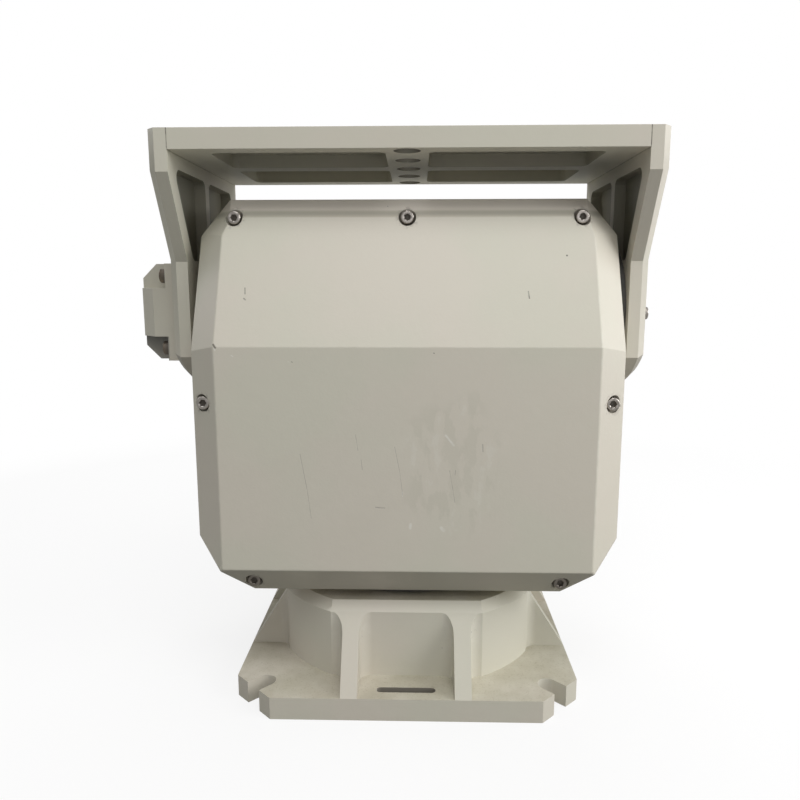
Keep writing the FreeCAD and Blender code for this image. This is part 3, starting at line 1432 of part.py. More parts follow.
def hub_cover():
    """The notched box that closes the hollow end of the shaft on the left arm."""
    seat = f"({ARM_OUTSIDE} + hub_gasket_thick)"
    body = new_body("hub_cover_body")
    block = sketch_on(body, "YZ_Plane", "hub_cover_block", f"-{seat}")
    rectangle(block, "-hub_box_half", "hub_box_half", f"{TILT} - hub_box_half", f"{TILT} + hub_box_half")
    reach = "(hub_box_reach - hub_gasket_thick)"
    pad(body, block, reach, backwards=True)
    face = number(f"-({seat} + {reach})")
    half = number("hub_box_half")
    middle = number(TILT)
    ends = [middle - half, middle + half]
    for axis, places, bevel in ((2, ends, "hub_box_roof_bevel"), (1, (-half, half), "hub_box_side_bevel")):

        def on_rim(line):
            return lies_at(line, 0, face) and any(lies_at(line, axis, place) for place in places)

        dress(body, "Chamfer", edges_where(body, on_rim), bevel)
    notch = sketch_on(body, "YZ_Plane", "hub_cover_notch", f"-({seat} + hub_box_flange)")
    outer = "(hub_box_half + cut_reach)"
    for left, right in ((f"-{outer}", "-hub_notch_side"), ("hub_notch_side", outer)):
        for low, high in ((f"-{outer}", "-hub_notch_rise"), ("hub_notch_rise", outer)):
            rectangle(notch, left, right, f"{TILT} + {low}", f"{TILT} + {high}")
    pocket(body, notch, "hub_box_reach")
    hollow = sketch_on(body, "YZ_Plane", "hub_cover_hollow", f"-{seat}")
    circle(hollow, "hub_hollow_round", "0", TILT)
    pocket(body, hollow, "hub_hollow_depth")
    holes = sketch_on(body, "YZ_Plane", "hub_cover_holes", f"-{seat}")
    for across, up in hub_cover_corners():
        circle(holes, hole_round("m6"), across, up)
    pocket(body, holes, "hub_box_flange")
    seats = sketch_on(body, "YZ_Plane", "hub_cover_seats", f"-({seat} + hub_box_flange - hub_screw_sink)")
    for across, up in hub_cover_corners():
        circle(seats, "m6_head_round + screw_gap", across, up)
    pocket(body, seats, "hub_box_reach")
    piece("left_hub_cover", body)

    gasket = new_body("hub_gasket_body")
    sheet_outline = sketch_on(gasket, "YZ_Plane", "hub_gasket_outline", f"-{seat}")
    edge = "(hub_box_half - gasket_inset)"
    rectangle(sheet_outline, f"-{edge}", edge, f"{TILT} - {edge}", f"{TILT} + {edge}")
    circle(sheet_outline, "hub_hollow_round", "0", TILT)
    for across, up in hub_cover_corners():
        circle(sheet_outline, hole_round("m6"), across, up)
    pad(gasket, sheet_outline, "hub_gasket_thick")
    piece("hub_cover_gasket", gasket)
    face = f"-({seat} + hub_box_flange - hub_screw_sink)"
    places = [(face, across, up) for across, up in hub_cover_corners()]
    length = "hub_box_flange - hub_screw_sink + hub_gasket_thick + hub_screw_bite"
    screws("hub_cover_screws", "m6", length, places, "-X")


# Control board


def control_board():
    back = f"(-{WALL_INSIDE} + spacer_length)"
    rise = "(body_half_width - sole_half_width + board_foot_gap)"
    tall = f"(side_screw_rise - boss_round - board_head_gap - {rise})"
    low = f"({FLOOR} + {rise})"
    lengths = ("board_thick", "2 * board_half_width", tall)
    board = box("board_sheet", lengths, (back, "-board_half_width", low))
    piece("control_board", board)
    spacers = []
    for name, level in (("low", "board_hole_inset"), ("high", f"({tall} - board_hole_inset)")):
        for side, sign in (("front", "-"), ("back", "")):
            at = (f"-{WALL_INSIDE}", f"{sign}(board_half_width - board_hole_inset)", f"{low} + {level}")
            spacers.append(cylinder(f"board_spacer_{name}_{side}", "spacer_round", "spacer_length", at, "X"))
    group("board_spacers", spacers)
    front = f"({back} + board_thick)"
    parts = []
    for index in range(3):
        place = f"-board_half_width + board_hole_inset + {index} * (board_block_width + board_hole_inset / 2)"
        lengths = ("board_block_depth", "board_block_width", "board_block_height")
        parts.append(box(f"board_block_{index}", lengths, (front, place, f"{low} + 2 * board_hole_inset")))
    for index in range(2):
        place = f"(2 * {index} - 1) * 2 * capacitor_round"
        at = (front, place, f"{low} + {tall} - 4 * capacitor_round")
        parts.append(cylinder(f"board_capacitor_{index}", "capacitor_round", "capacitor_length", at, "X"))
    group("board_parts", parts)


def build():
    base_casting()
    rear_sockets()
    pan_post()
    pan_bearings()
    pan_gear()
    slip_ring()
    main_housing()
    front_cover()
    cover_screws()
    gaskets()
    pan_seals()
    pan_drive()
    tilt_drive()
    tilt_shaft()
    arm("left", "-")
    arm("right", "")
    top_plate()
    bracket_fasteners()
    hub_cover()
    control_board()


def check_and_write():
    """Stop on any failed object or unsound shape before the first file is written."""
    doc.recompute()
    failed = [item.Name for item in doc.Objects if "Invalid" in item.State or "Error" in item.State]
    if failed:
        raise RuntimeError(f"These objects failed: {failed}")
    for item in pieces:
        if item.Shape.isNull() or not item.Shape.isValid() or not item.Shape.Solids:
            raise RuntimeError(f"{item.Label} has no sound shape")
    os.makedirs("parts", exist_ok=True)
    for item in pieces:
        item.Shape.exportStep(f"parts/{item.Label}.step")
        print(f"{item.Label}: {len(item.Shape.Solids)} solids, {item.Shape.Volume / 1000:.1f} cm3")


build()
check_and_write()
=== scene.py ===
import json
import math

import bmesh
import bpy
from mathutils import Matrix, Vector
from mathutils.bvhtree import BVHTree


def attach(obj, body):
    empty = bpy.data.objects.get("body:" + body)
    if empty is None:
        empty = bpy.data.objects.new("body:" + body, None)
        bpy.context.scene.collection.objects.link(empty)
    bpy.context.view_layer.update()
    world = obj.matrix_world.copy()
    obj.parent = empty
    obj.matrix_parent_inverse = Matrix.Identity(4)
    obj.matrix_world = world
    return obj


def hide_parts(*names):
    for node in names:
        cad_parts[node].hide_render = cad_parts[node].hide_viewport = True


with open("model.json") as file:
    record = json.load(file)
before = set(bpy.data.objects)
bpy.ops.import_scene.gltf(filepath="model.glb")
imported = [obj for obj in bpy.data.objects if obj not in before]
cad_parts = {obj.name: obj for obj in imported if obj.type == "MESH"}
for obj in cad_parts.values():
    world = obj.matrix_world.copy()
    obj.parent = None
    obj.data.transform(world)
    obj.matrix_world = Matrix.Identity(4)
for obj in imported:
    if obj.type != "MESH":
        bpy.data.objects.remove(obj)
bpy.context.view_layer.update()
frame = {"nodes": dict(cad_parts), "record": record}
MM = 0.001


def in_scene(name, data):
    """A new object with the data given, linked into the scene."""
    made = bpy.data.objects.new(name, data)
    bpy.context.collection.objects.link(made)
    return made


# Camera at the photograph's viewing angle

LENS = 32.14
SENSOR_WIDTH = 36.0
CLIP_START = 0.01
CAMERA_PLACE = Vector((7.5, -535.8, 279.7)) * MM
CAMERA_PITCH = 0.164
CAMERA_YAW = 0.026
CAMERA_ROLL = -0.001


def photo_camera():
    level = math.cos(CAMERA_PITCH)
    ahead = Vector((-math.sin(CAMERA_YAW) * level, math.cos(CAMERA_YAW) * level, -math.sin(CAMERA_PITCH)))
    across = Vector((math.cos(CAMERA_YAW), math.sin(CAMERA_YAW), 0))
    upright = across.cross(ahead)
    right = across * math.cos(CAMERA_ROLL) + upright * math.sin(CAMERA_ROLL)
    up = upright * math.cos(CAMERA_ROLL) - across * math.sin(CAMERA_ROLL)
    lens = bpy.data.cameras.new("photo_camera")
    lens.lens = LENS
    lens.sensor_width = SENSOR_WIDTH
    lens.clip_start = CLIP_START
    camera = in_scene("photo_camera", lens)
    turned = Matrix((right, up, -ahead)).transposed().to_4x4()
    camera.matrix_world = Matrix.Translation(CAMERA_PLACE) @ turned
    bpy.context.scene.camera = camera


# Node helpers

FLOAT = "NodeSocketFloat"
VECTOR = "NodeSocketVector"
MIX_SHARE = 0
MIX_FIRST = 6
MIX_SECOND = 7
MIX_RESULT = 2
NUMBER_RESULTS = ("DISTANCE", "LENGTH", "DOT_PRODUCT")


def put(tree, socket, value):
    """Link a node's input to another socket, or give it a fixed value."""
    if isinstance(value, bpy.types.NodeSocket):
        tree.links.new(value, socket)
    else:
        socket.default_value = value


def add(tree, kind, inputs=None, **settings):
    """A new node with its settings, and its inputs given by name or number as values or sockets."""
    made = tree.nodes.new(kind)
    for name, value in settings.items():
        setattr(made, name, value)
    for key, value in (inputs or {}).items():
        put(tree, made.inputs[key], value)
    return made


def calculate(tree, operation, first, second=0.0, third=0.0, clamp=False):
    made = add(tree, "ShaderNodeMath", {0: first, 1: second, 2: third}, operation=operation, use_clamp=clamp)
    return made.outputs[0]


def times(tree, first, second):
    return calculate(tree, "MULTIPLY", first, second)


def rising(tree, value, span, start):
    """The start, and span times the value on top of it."""
    return calculate(tree, "MULTIPLY_ADD", value, span, start)


def weighted(tree, *parts):
    """The sum of some values, each given with its share."""
    total = 0.0
    for value, share in parts:
        total = rising(tree, value, share, total)
    return total


def distance(tree, value, middle=0.0):
    """How far a value is from the middle, whichever way."""
    off = calculate(tree, "SUBTRACT", value, middle) if middle else value
    return calculate(tree, "ABSOLUTE", off)


def vector(tree, operation, first, second=(0, 0, 0)):
    made = add(tree, "ShaderNodeVectorMath", {0: first, 1: second}, operation=operation)
    return made.outputs["Value" if operation in NUMBER_RESULTS else "Vector"]


def scaled(tree, place, scale):
    """A place or direction times one number."""
    made = add(tree, "ShaderNodeVectorMath", {0: place, "Scale": scale}, operation="SCALE")
    return made.outputs["Vector"]


def stretched(tree, place, scale):
    """A place times one number for each axis."""
    return add(tree, "ShaderNodeMapping", {"Vector": place, "Scale": scale}).outputs["Vector"]


def axes(tree, place):
    """The X, Y and Z of a place or direction, by name."""
    return add(tree, "ShaderNodeSeparateXYZ", {0: place}).outputs


def joined_axes(tree, x, y, z):
    return add(tree, "ShaderNodeCombineXYZ", {"X": x, "Y": y, "Z": z}).outputs[0]


def attribute(tree, name):
    return add(tree, "ShaderNodeAttribute", attribute_name=name).outputs["Fac"]


def upward(tree):
    """How far the surface faces up: 1 when level and seen from above, -1 when seen from below."""
    return axes(tree, tree.nodes.new("ShaderNodeTexCoord").outputs["Normal"])["Z"]


def step(tree, value, low, high):
    """0 at low, 1 at high, and smooth between them. Where low is the larger one, the mask falls."""
    inputs = {"Value": value, "From Min": low, "From Max": high}
    return add(tree, "ShaderNodeMapRange", inputs, interpolation_type="SMOOTHSTEP").outputs["Result"]


def blend(tree, share, first, second):
    made = add(tree, "ShaderNodeMix", data_type="RGBA")
    for index, value in ((MIX_SHARE, share), (MIX_FIRST, first), (MIX_SECOND, second)):
        put(tree, made.inputs[index], value)
    return made.outputs[MIX_RESULT]


def stained(tree, colour, mask, stain, strength=1.0):
    """A colour with a stain where the mask is, as far as the strength goes."""
    share = mask if strength == 1.0 else times(tree, mask, strength)
    return blend(tree, share, colour, stain)


def noise(tree, place, scale, detail, roughness):
    inputs = {"Vector": place, "Scale": scale, "Detail": detail, "Roughness": roughness}
    return add(tree, "ShaderNodeTexNoise", inputs).outputs["Fac"]


def effect_group(name, inputs, outputs):
    """A shader node group with named sockets. inputs are (name, kind, value)."""
    group = bpy.data.node_groups.new(name, "ShaderNodeTree")
    for label, kind, value in inputs:
        socket = group.interface.new_socket(label, in_out="INPUT", socket_type=kind)
        if value is not None:
            socket.default_value = value
    for label, kind in outputs:
        group.interface.new_socket(label, in_out="OUTPUT", socket_type=kind)
    return group, group.nodes.new("NodeGroupInput").outputs, group.nodes.new("NodeGroupOutput").inputs


def use_group(tree, group, **values):
    made = tree.nodes.new("ShaderNodeGroup")
    made.node_tree = group
    for name, value in values.items():
        put(tree, made.inputs[name], value)
    return made.outputs


# Effects that several finishes share


def make_mottle():
    """Cloudy unevenness at three sizes, about 0.5 in the middle."""
    inputs = [("Place", VECTOR, None), ("Size", FLOAT, 1.0)]
    group, given, result = effect_group("mottle", inputs, [("Tone", FLOAT), ("Cloud", FLOAT)])
    place = scaled(group, given["Place"], given["Size"])
    wide = noise(group, place, scale=9.0, detail=3.0, roughness=0.55)
    middle = noise(group, place, scale=55.0, detail=3.0, roughness=0.6)
    fine = noise(group, place, scale=420.0, detail=2.0, roughness=0.6)
    group.links.new(weighted(group, (middle, 0.32), (wide, 0.5), (fine, 0.18)), result["Tone"])
    group.links.new(wide, result["Cloud"])
    return group


def make_orange_peel():
    """The fine rounded skin of sprayed and baked powder."""
    inputs = [("Place", VECTOR, None), ("Grain", FLOAT, 620.0)]
    group, given, result = effect_group("orange_peel", inputs, [("Height", FLOAT)])
    soft = noise(group, given["Place"], scale=given["Grain"], detail=1.5, roughness=0.45)
    coarse_grain = times(group, given["Grain"], 0.28)
    coarse = noise(group, given["Place"], scale=coarse_grain, detail=1.0, roughness=0.4)
    group.links.new(weighted(group, (soft, 0.4), (coarse, 0.6)), result["Height"])
    return group


def make_edge_wear():
    """Rubbed and chipped edges, from the piece's own edge attribute."""
    inputs = [("Place", VECTOR, None), ("Edge", FLOAT, 0.0), ("Amount", FLOAT, 0.5)]
    group, given, result = effect_group("edge_wear", inputs, [("Rubbed", FLOAT), ("Chipped", FLOAT)])
    patches = noise(group, given["Place"], scale=75.0, detail=4.0, roughness=0.65)
    flakes = noise(group, given["Place"], scale=520.0, detail=3.0, roughness=0.7)
    rubbed = times(group, given["Edge"], step(group, patches, low=0.42, high=0.68))
    rubbed = times(group, rubbed, given["Amount"])
    start = rising(group, given["Amount"], span=-0.12, start=0.72)
    chipped = step(group, flakes, start, calculate(group, "ADD", start, 0.03))
    chipped = times(group, chipped, step(group, patches, low=0.5, high=0.62))
    chipped = times(group, chipped, step(group, given["Edge"], low=0.2, high=0.6))
    group.links.new(rubbed, result["Rubbed"])
    group.links.new(chipped, result["Chipped"])
    return group


def make_dust_and_down_shade():
    """Dust on faces that look up, thicker in patches, and painted shade, uneven in patches, on faces that
    lean down and out.
    """
    inputs = [("Place", VECTOR, None), ("Amount", FLOAT, 0.4)]
    group, given, result = effect_group("settled_dust", inputs, [("Dust", FLOAT), ("Film", FLOAT)])
    facing = upward(group)
    # Painted shade on faces that lean down and out
    lean = step(group, facing, low=-0.3, high=-0.55)
    lean = times(group, lean, step(group, facing, low=-0.96, high=-0.86))
    patches = noise(group, given["Place"], scale=26.0, detail=3.0, roughness=0.55)
    down_shade = rising(group, step(group, patches, low=0.2, high=0.5), span=0.25, start=0.75)
    group.links.new(times(group, lean, down_shade), result["Film"])
    level = step(group, facing, low=0.72, high=0.97)
    clouds = noise(group, given["Place"], scale=38.0, detail=4.0, roughness=0.6)
    specks = noise(group, given["Place"], scale=900.0, detail=2.0, roughness=0.5)
    clouds = step(group, clouds, low=0.12, high=0.72)
    specks = step(group, specks, low=0.55, high=0.75)
    cover = weighted(group, (clouds, 0.65), (specks, 0.35))
    group.links.new(times(group, times(group, cover, level), given["Amount"]), result["Dust"])
    return group


def make_dark_specks():
    """A few tiny dark specks of dirt baked into the coat."""
    inputs = [("Place", VECTOR, None), ("Spacing", FLOAT, 70.0), ("Share", FLOAT, 0.12)]
    group, given, result = effect_group("dark_specks", inputs, [("Speck", FLOAT)])
    cells = add(group, "ShaderNodeTexVoronoi", {"Vector": given["Place"], "Scale": given["Spacing"]})
    chosen = add(group, "ShaderNodeSeparateColor", {0: cells.outputs["Color"]}).outputs
    kept = calculate(group, "LESS_THAN", chosen["Red"], given["Share"])
    reach = rising(group, chosen["Green"], span=0.03, start=0.012)
    near = calculate(group, "LESS_THAN", cells.outputs["Distance"], reach)
    group.links.new(times(group, near, kept), result["Speck"])
    return group


def make_machining():
    """Fine tool lines, where Place has been squashed along the way that the tool ran."""
    inputs = [("Place", VECTOR, None), ("Spacing", FLOAT, 2600.0)]
    group, given, result = effect_group("machining", inputs, [("Height", FLOAT), ("Tone", FLOAT)])
    lines = noise(group, given["Place"], scale=given["Spacing"], detail=1.0, roughness=0.5)
    blotch = noise(group, given["Place"], scale=60.0, detail=3.0, roughness=0.6)
    group.links.new(lines, result["Height"])
    group.links.new(weighted(group, (lines, 0.3), (blotch, 0.7)), result["Tone"])
    return group


# A cover's screws as (side, up) in mm, each side place standing for both sides
COVER_SCREW_AXES = ((0.0, 321.0), (113.0, 321.0), (131.0, 203.0), (101.5, 83.4))
COUNTERBORE_ROUND = 5.75 * MM


def make_counterbore_shade_and_dirt():
    """Painted shade in a cover's seven counterbores, and dirt in patches just round them. The screws run
    along Y.
    """
    group, given, result = effect_group("screw_dirt", [("Place", VECTOR, None)], [("Dirt", FLOAT)])
    parts = axes(group, given["Place"])
    flat = joined_axes(group, distance(group, parts["X"]), 0.0, parts["Z"])
    nearest = None
    for side, up in COVER_SCREW_AXES:
        away = vector(group, "DISTANCE", flat, (side * MM, 0.0, up * MM))
        nearest = calculate(group, "MINIMUM", nearest, away) if nearest else away
    # Painted shade inside the counterbores; the patches round them are dirt
    inside = step(group, nearest, low=COUNTERBORE_ROUND * 1.04, high=COUNTERBORE_ROUND * 0.9)
    round_it = step(group, nearest, low=COUNTERBORE_ROUND * 1.5, high=COUNTERBORE_ROUND)
    patches = noise(group, given["Place"], scale=380.0, detail=3.0, roughness=0.6)
    round_it = times(group, times(group, round_it, step(group, patches, low=0.45, high=0.65)), 0.45)
    group.links.new(calculate(group, "MAXIMUM", inside, round_it), result["Dirt"])
    return group


ALONG_Y_FLATTENED = (1, 0, 1)


def make_line_mark():
    """A thin broken mark from Start to Finish, looked at along Y, such as a scratch."""
    inputs = [("Place", VECTOR, None), ("Start", VECTOR, (0, 0, 0)), ("Finish", VECTOR, (0, 0, 0.01))]
    inputs += [("Width", FLOAT, 0.0003), ("Broken", FLOAT, 0.5)]
    group, given, result = effect_group("line_mark", inputs, [("Mark", FLOAT)])
    flat = vector(group, "MULTIPLY", given["Place"], ALONG_Y_FLATTENED)
    along = vector(group, "SUBTRACT", given["Finish"], given["Start"])
    offset = vector(group, "SUBTRACT", flat, given["Start"])
    made = vector(group, "DOT_PRODUCT", offset, along)
    whole = vector(group, "DOT_PRODUCT", along, along)
    share = calculate(group, "DIVIDE", made, whole, clamp=True)
    away = vector(group, "DISTANCE", offset, scaled(group, along, share))
    line = step(group, away, given["Width"], times(group, given["Width"], 0.3))
    gaps = noise(group, given["Place"], scale=240.0, detail=3.0, roughness=0.6)
    gaps = calculate(group, "SUBTRACT", step(group, gaps, low=0.36, high=0.6), 1.0)
    kept = rising(group, gaps, span=given["Broken"], start=1.0)
    group.links.new(times(group, line, kept), result["Mark"])
    return group


MOTTLE = make_mottle()
ORANGE_PEEL = make_orange_peel()
EDGE_WEAR = make_edge_wear()
DUST_AND_DOWN_SHADE = make_dust_and_down_shade()
DARK_SPECKS = make_dark_specks()
MACHINING = make_machining()
COUNTERBORE_SHADE_AND_DIRT = make_counterbore_shade_and_dirt()
LINE_MARK = make_line_mark()


# Finishes

COAT_LIGHT = (0.648, 0.617, 0.527, 1)
COAT_DEEP = (0.618, 0.585, 0.495, 1)
COAT_PINKISH = (0.658, 0.609, 0.530, 1)
COAT_GREENISH = (0.616, 0.606, 0.506, 1)
COAT_RUBBED = (0.74, 0.72, 0.65, 1)
TINT_SHARE = 0.5
PEEL_GRAIN = 620.0
SPECK_SPACING = 70.0
SPECK_SHARE = 0.10
DUST_COLOUR = (0.56, 0.52, 0.43, 1)
FOOT_DUST = (0.40, 0.365, 0.27, 1)
# Painted shade on faces that lean down and out
DOWN_SHADE_COLOUR = (0.26, 0.245, 0.205, 1)
BARE_METAL = (0.36, 0.34, 0.31, 1)
GRIME = (0.12, 0.11, 0.09, 1)
# Painted shade in slots, counterbores and screw crevices, also dirt round the counterbores and grime on the
# screws
RECESS_SHADE_AND_DIRT = (0.15, 0.132, 0.11, 1)


def new_finish(name):
    """An empty material: its tree, its shader and the object coordinates."""
    made = bpy.data.materials.new(name)
    made.use_nodes = True
    tree = made.node_tree
    shader = tree.nodes["Principled BSDF"]
    place = tree.nodes.new("ShaderNodeTexCoord").outputs["Object"]
    return made, tree, shader, place


def wire(tree, shader, **sockets):
    for name, value in sockets.items():
        put(tree, shader.inputs[name.replace("_", " ")], value)


def bumped(tree, shader, height, strength, depth):
    made = add(tree, "ShaderNodeBump", {"Height": height, "Strength": strength, "Distance": depth})
    tree.links.new(made.outputs["Normal"], shader.inputs["Normal"])


def powder_coat(name, wear=0.5, dust=0.35, down_shade=0.35, dust_colour=DUST_COLOUR, marks=None):
    """Satin powder coat in a warm light grey, with rubbed edges, dust on faces that look up, and painted
    shade on faces that lean down.
    """
    made, tree, shader, place = new_finish(name)
    tone = use_group(tree, MOTTLE, Place=place, Size=1.0)
    worn = use_group(tree, EDGE_WEAR, Place=place, Edge=attribute(tree, "edge"), Amount=wear)
    dust_and_shade = use_group(tree, DUST_AND_DOWN_SHADE, Place=place, Amount=dust)
    speck = use_group(tree, DARK_SPECKS, Place=place, Spacing=SPECK_SPACING, Share=SPECK_SHARE)["Speck"]
    height = use_group(tree, ORANGE_PEEL, Place=place, Grain=PEEL_GRAIN)["Height"]
    colour = blend(tree, step(tree, tone["Tone"], low=0.3, high=0.7), COAT_DEEP, COAT_LIGHT)
    tint = blend(tree, step(tree, tone["Cloud"], low=0.4, high=0.6), COAT_PINKISH, COAT_GREENISH)
    colour = blend(tree, TINT_SHARE, colour, tint)
    colour = stained(tree, colour, worn["Rubbed"], COAT_RUBBED, strength=0.55)
    colour = stained(tree, colour, dust_and_shade["Dust"], dust_colour)
    # Painted shade on faces that lean down and out
    colour = stained(tree, colour, dust_and_shade["Film"], DOWN_SHADE_COLOUR, strength=down_shade)
    rough = rising(tree, tone["Tone"], span=0.16, start=0.36)
    rough = rising(tree, dust_and_shade["Dust"], span=0.3, start=rough)
    if marks:
        colour, rough, height = marks(tree, place, colour, rough, height)
    colour = stained(tree, colour, speck, GRIME)
    colour = stained(tree, colour, worn["Chipped"], BARE_METAL)
    height = rising(tree, worn["Chipped"], span=-1.2, start=height)
    wire(tree, shader, Base_Color=colour, Roughness=rough, Specular_IOR_Level=0.42)
    bumped(tree, shader, height, strength=0.22, depth=0.4 * MM)
    return made


# Marks, painted shade and painted light on single pieces. Each takes a coat's colour, roughness and height,
# and gives them back


def slot_painted_shade(tree, place, colour, rough, height):
    """Painted shade in the narrow slot of the front bay."""
    return stained(tree, colour, attribute(tree, "recess"), RECESS_SHADE_AND_DIRT), rough, height


def cover_marks(tree, place, colour, rough, height):
    """Painted shade in the counterbores of a cover, and dirt in patches round them."""
    # Painted shade in the counterbores and dirt round them
    dirt = use_group(tree, COUNTERBORE_SHADE_AND_DIRT, Place=place)["Dirt"]
    colour = stained(tree, colour, dirt, RECESS_SHADE_AND_DIRT, strength=0.85)
    return colour, rising(tree, dirt, span=0.3, start=rough), height


# Marks on the front cover as (start, finish, width), in mm across and up
SCRATCHES = (
    ((-67.2, 172.2), (-63.1, 148.2), 0.34), ((-63.1, 148.2), (-61.0, 130.0), 0.3),
    ((-32.0, 185.1), (-30.5, 174.8), 0.3), ((-28.6, 168.6), (-27.9, 162.4), 0.34),
    ((-7.4, 177.3), (-4.2, 161.1), 0.28), ((-4.2, 161.1), (-2.3, 145.8), 0.24),
    ((27.3, 162.0), (30.9, 141.1), 0.3), ((31.0, 162.3), (30.7, 159.4), 0.5),
    ((47.8, 179.0), (48.0, 174.5), 0.6), ((-19.5, 137.6), (-14.0, 137.2), 0.7),
)
CHIPS = (
    ((-102.3, 276.0), (-102.0, 272.2), 0.4), ((-102.6, 269.3), (-101.6, 268.6), 0.7),
    ((76.0, 273.5), (76.5, 269.5), 0.6), ((-119.6, 241.4), (-118.2, 239.6), 0.9),
    ((-71.0, 230.9), (-70.6, 230.6), 0.4), ((16.9, 236.5), (17.1, 236.3), 0.5),
)
LIGHT_NICKS = (
    ((-108.4, 234.9), (-107.4, 234.1), 0.5), ((-73.2, 231.0), (-72.4, 230.8), 0.45),
    ((24.7, 184.9), (29.9, 178.4), 0.9), ((2.8, 126.6), (2.6, 124.0), 1.3),
    ((22.4, 124.4), (24.0, 122.6), 1.5), ((-119.0, 238.9), (-118.4, 238.0), 0.7),
    ((-2.2, 148.0), (-2.4, 145.0), 0.4),
)
NICK_LIGHT = (0.84, 0.83, 0.78, 1)
SCUFF_DARK = (0.50, 0.485, 0.40, 1)
SCUFF_MIDDLE = Vector((30.0, 0.0, 165.0)) * MM
SCUFF_REACH = Vector((33.0, 1.0, 46.0)) * MM
SCUFF_STRETCH = (1.0, 1.0, 0.42)
BROW_LINE = 323.6 * MM
BROW_LINE_REACH = 3.4 * MM
# Painted shade along the brow line, and painted light on the brow above it
BROW_PAINTED_SHADE = (0.40, 0.385, 0.32, 1)
BROW_PAINTED_LIGHT = (0.82, 0.765, 0.69, 1)


def line_marks(tree, place, lines):
    """All the lines of a list as one mask."""
    total = None
    for start, finish, width in lines:
        begin, end = [(across * MM, 0.0, up * MM) for across, up in (start, finish)]
        mark = use_group(tree, LINE_MARK, Place=place, Start=begin, Finish=end, Width=width * MM)["Mark"]
        total = calculate(tree, "MAXIMUM", total, mark) if total else mark
    return total


def scuff_field(tree, place):
    """Where the smeared scuffs lie: an upright oval with a ragged edge."""
    spread = vector(tree, "DIVIDE", vector(tree, "SUBTRACT", place, SCUFF_MIDDLE), SCUFF_REACH)
    away = vector(tree, "LENGTH", vector(tree, "MULTIPLY", spread, ALONG_Y_FLATTENED))
    ragged = noise(tree, place, scale=60.0, detail=3.0, roughness=0.6)
    away = rising(tree, ragged, span=0.8, start=calculate(tree, "SUBTRACT", away, 0.4))
    return step(tree, away, low=1.1, high=0.75)


def front_cover_marks(tree, place, colour, rough, height):
    """The front cover's scuffs, the painted shade and painted light along its brow, its scratches and chips,
    and painted shade and dirt at its counterbores.
    """
    field = scuff_field(tree, place)
    streaks = noise(tree, stretched(tree, place, SCUFF_STRETCH), scale=125.0, detail=3.0, roughness=0.55)
    scuffed = times(tree, field, step(tree, streaks, low=0.48, high=0.56))
    polished = times(tree, field, step(tree, streaks, low=0.4, high=0.34))
    colour = stained(tree, colour, scuffed, SCUFF_DARK, strength=0.26)
    colour = stained(tree, colour, polished, COAT_RUBBED, strength=0.22)
    # Painted shade along the brow line
    level = calculate(tree, "SUBTRACT", axes(tree, place)["Z"], BROW_LINE)
    shade = step(tree, distance(tree, level), low=BROW_LINE_REACH, high=0.0)
    colour = stained(tree, colour, shade, BROW_PAINTED_SHADE, strength=0.6)
    # Painted light on the brow above the line
    above = step(tree, level, low=BROW_LINE_REACH * 0.3, high=BROW_LINE_REACH)
    colour = stained(tree, colour, above, BROW_PAINTED_LIGHT, strength=0.8)
    light = line_marks(tree, place, LIGHT_NICKS)
    dark = line_marks(tree, place, SCRATCHES)
    chips = line_marks(tree, place, CHIPS)
    colour = stained(tree, colour, light, NICK_LIGHT, strength=0.5)
    colour = stained(tree, colour, dark, BARE_METAL, strength=0.55)
    colour = stained(tree, colour, chips, GRIME, strength=0.85)
    height = rising(tree, calculate(tree, "MAXIMUM", dark, chips), span=-1.0, start=height)
    rough = rising(tree, scuffed, span=0.12, start=rough)
    return cover_marks(tree, place, colour, rough, height)


# The bracket's marks
ARM_JOINT = 147.2 * MM
JOINT_WIDTH = 0.45 * MM
PLATE_FOOT = 360.0 * MM
POCKET_SHADE = (0.19, 0.185, 0.14, 1)
HOLE_ROUND = 8.9 * MM
HOLE_EDGE = 9.3 * MM
HOLES_END = 81.0 * MM
HOLE_WALL_SHADE = (0.155, 0.145, 0.115, 1)
UNDERSIDE_PAINTED_LIGHT = (0.85, 0.83, 0.74, 1)


def joint_dirt(tree, place):
    """A fine uneven line of dirt where the arms meet the top plate, fainter below than in front."""
    parts = axes(tree, place)
    joint = step(tree, distance(tree, distance(tree, parts["X"]), ARM_JOINT), JOINT_WIDTH, JOINT_WIDTH * 0.4)
    below = step(tree, parts["Z"], PLATE_FOOT - 2 * JOINT_WIDTH, PLATE_FOOT - JOINT_WIDTH)
    front = step(tree, parts["Z"], PLATE_FOOT + JOINT_WIDTH, PLATE_FOOT + 2 * JOINT_WIDTH)
    uneven = noise(tree, place, scale=120.0, detail=3.0, roughness=0.6)
    uneven = rising(tree, step(tree, uneven, low=0.3, high=0.6), span=0.6, start=0.4)
    return times(tree, joint, times(tree, weighted(tree, (below, 0.3), (front, 0.6)), uneven))


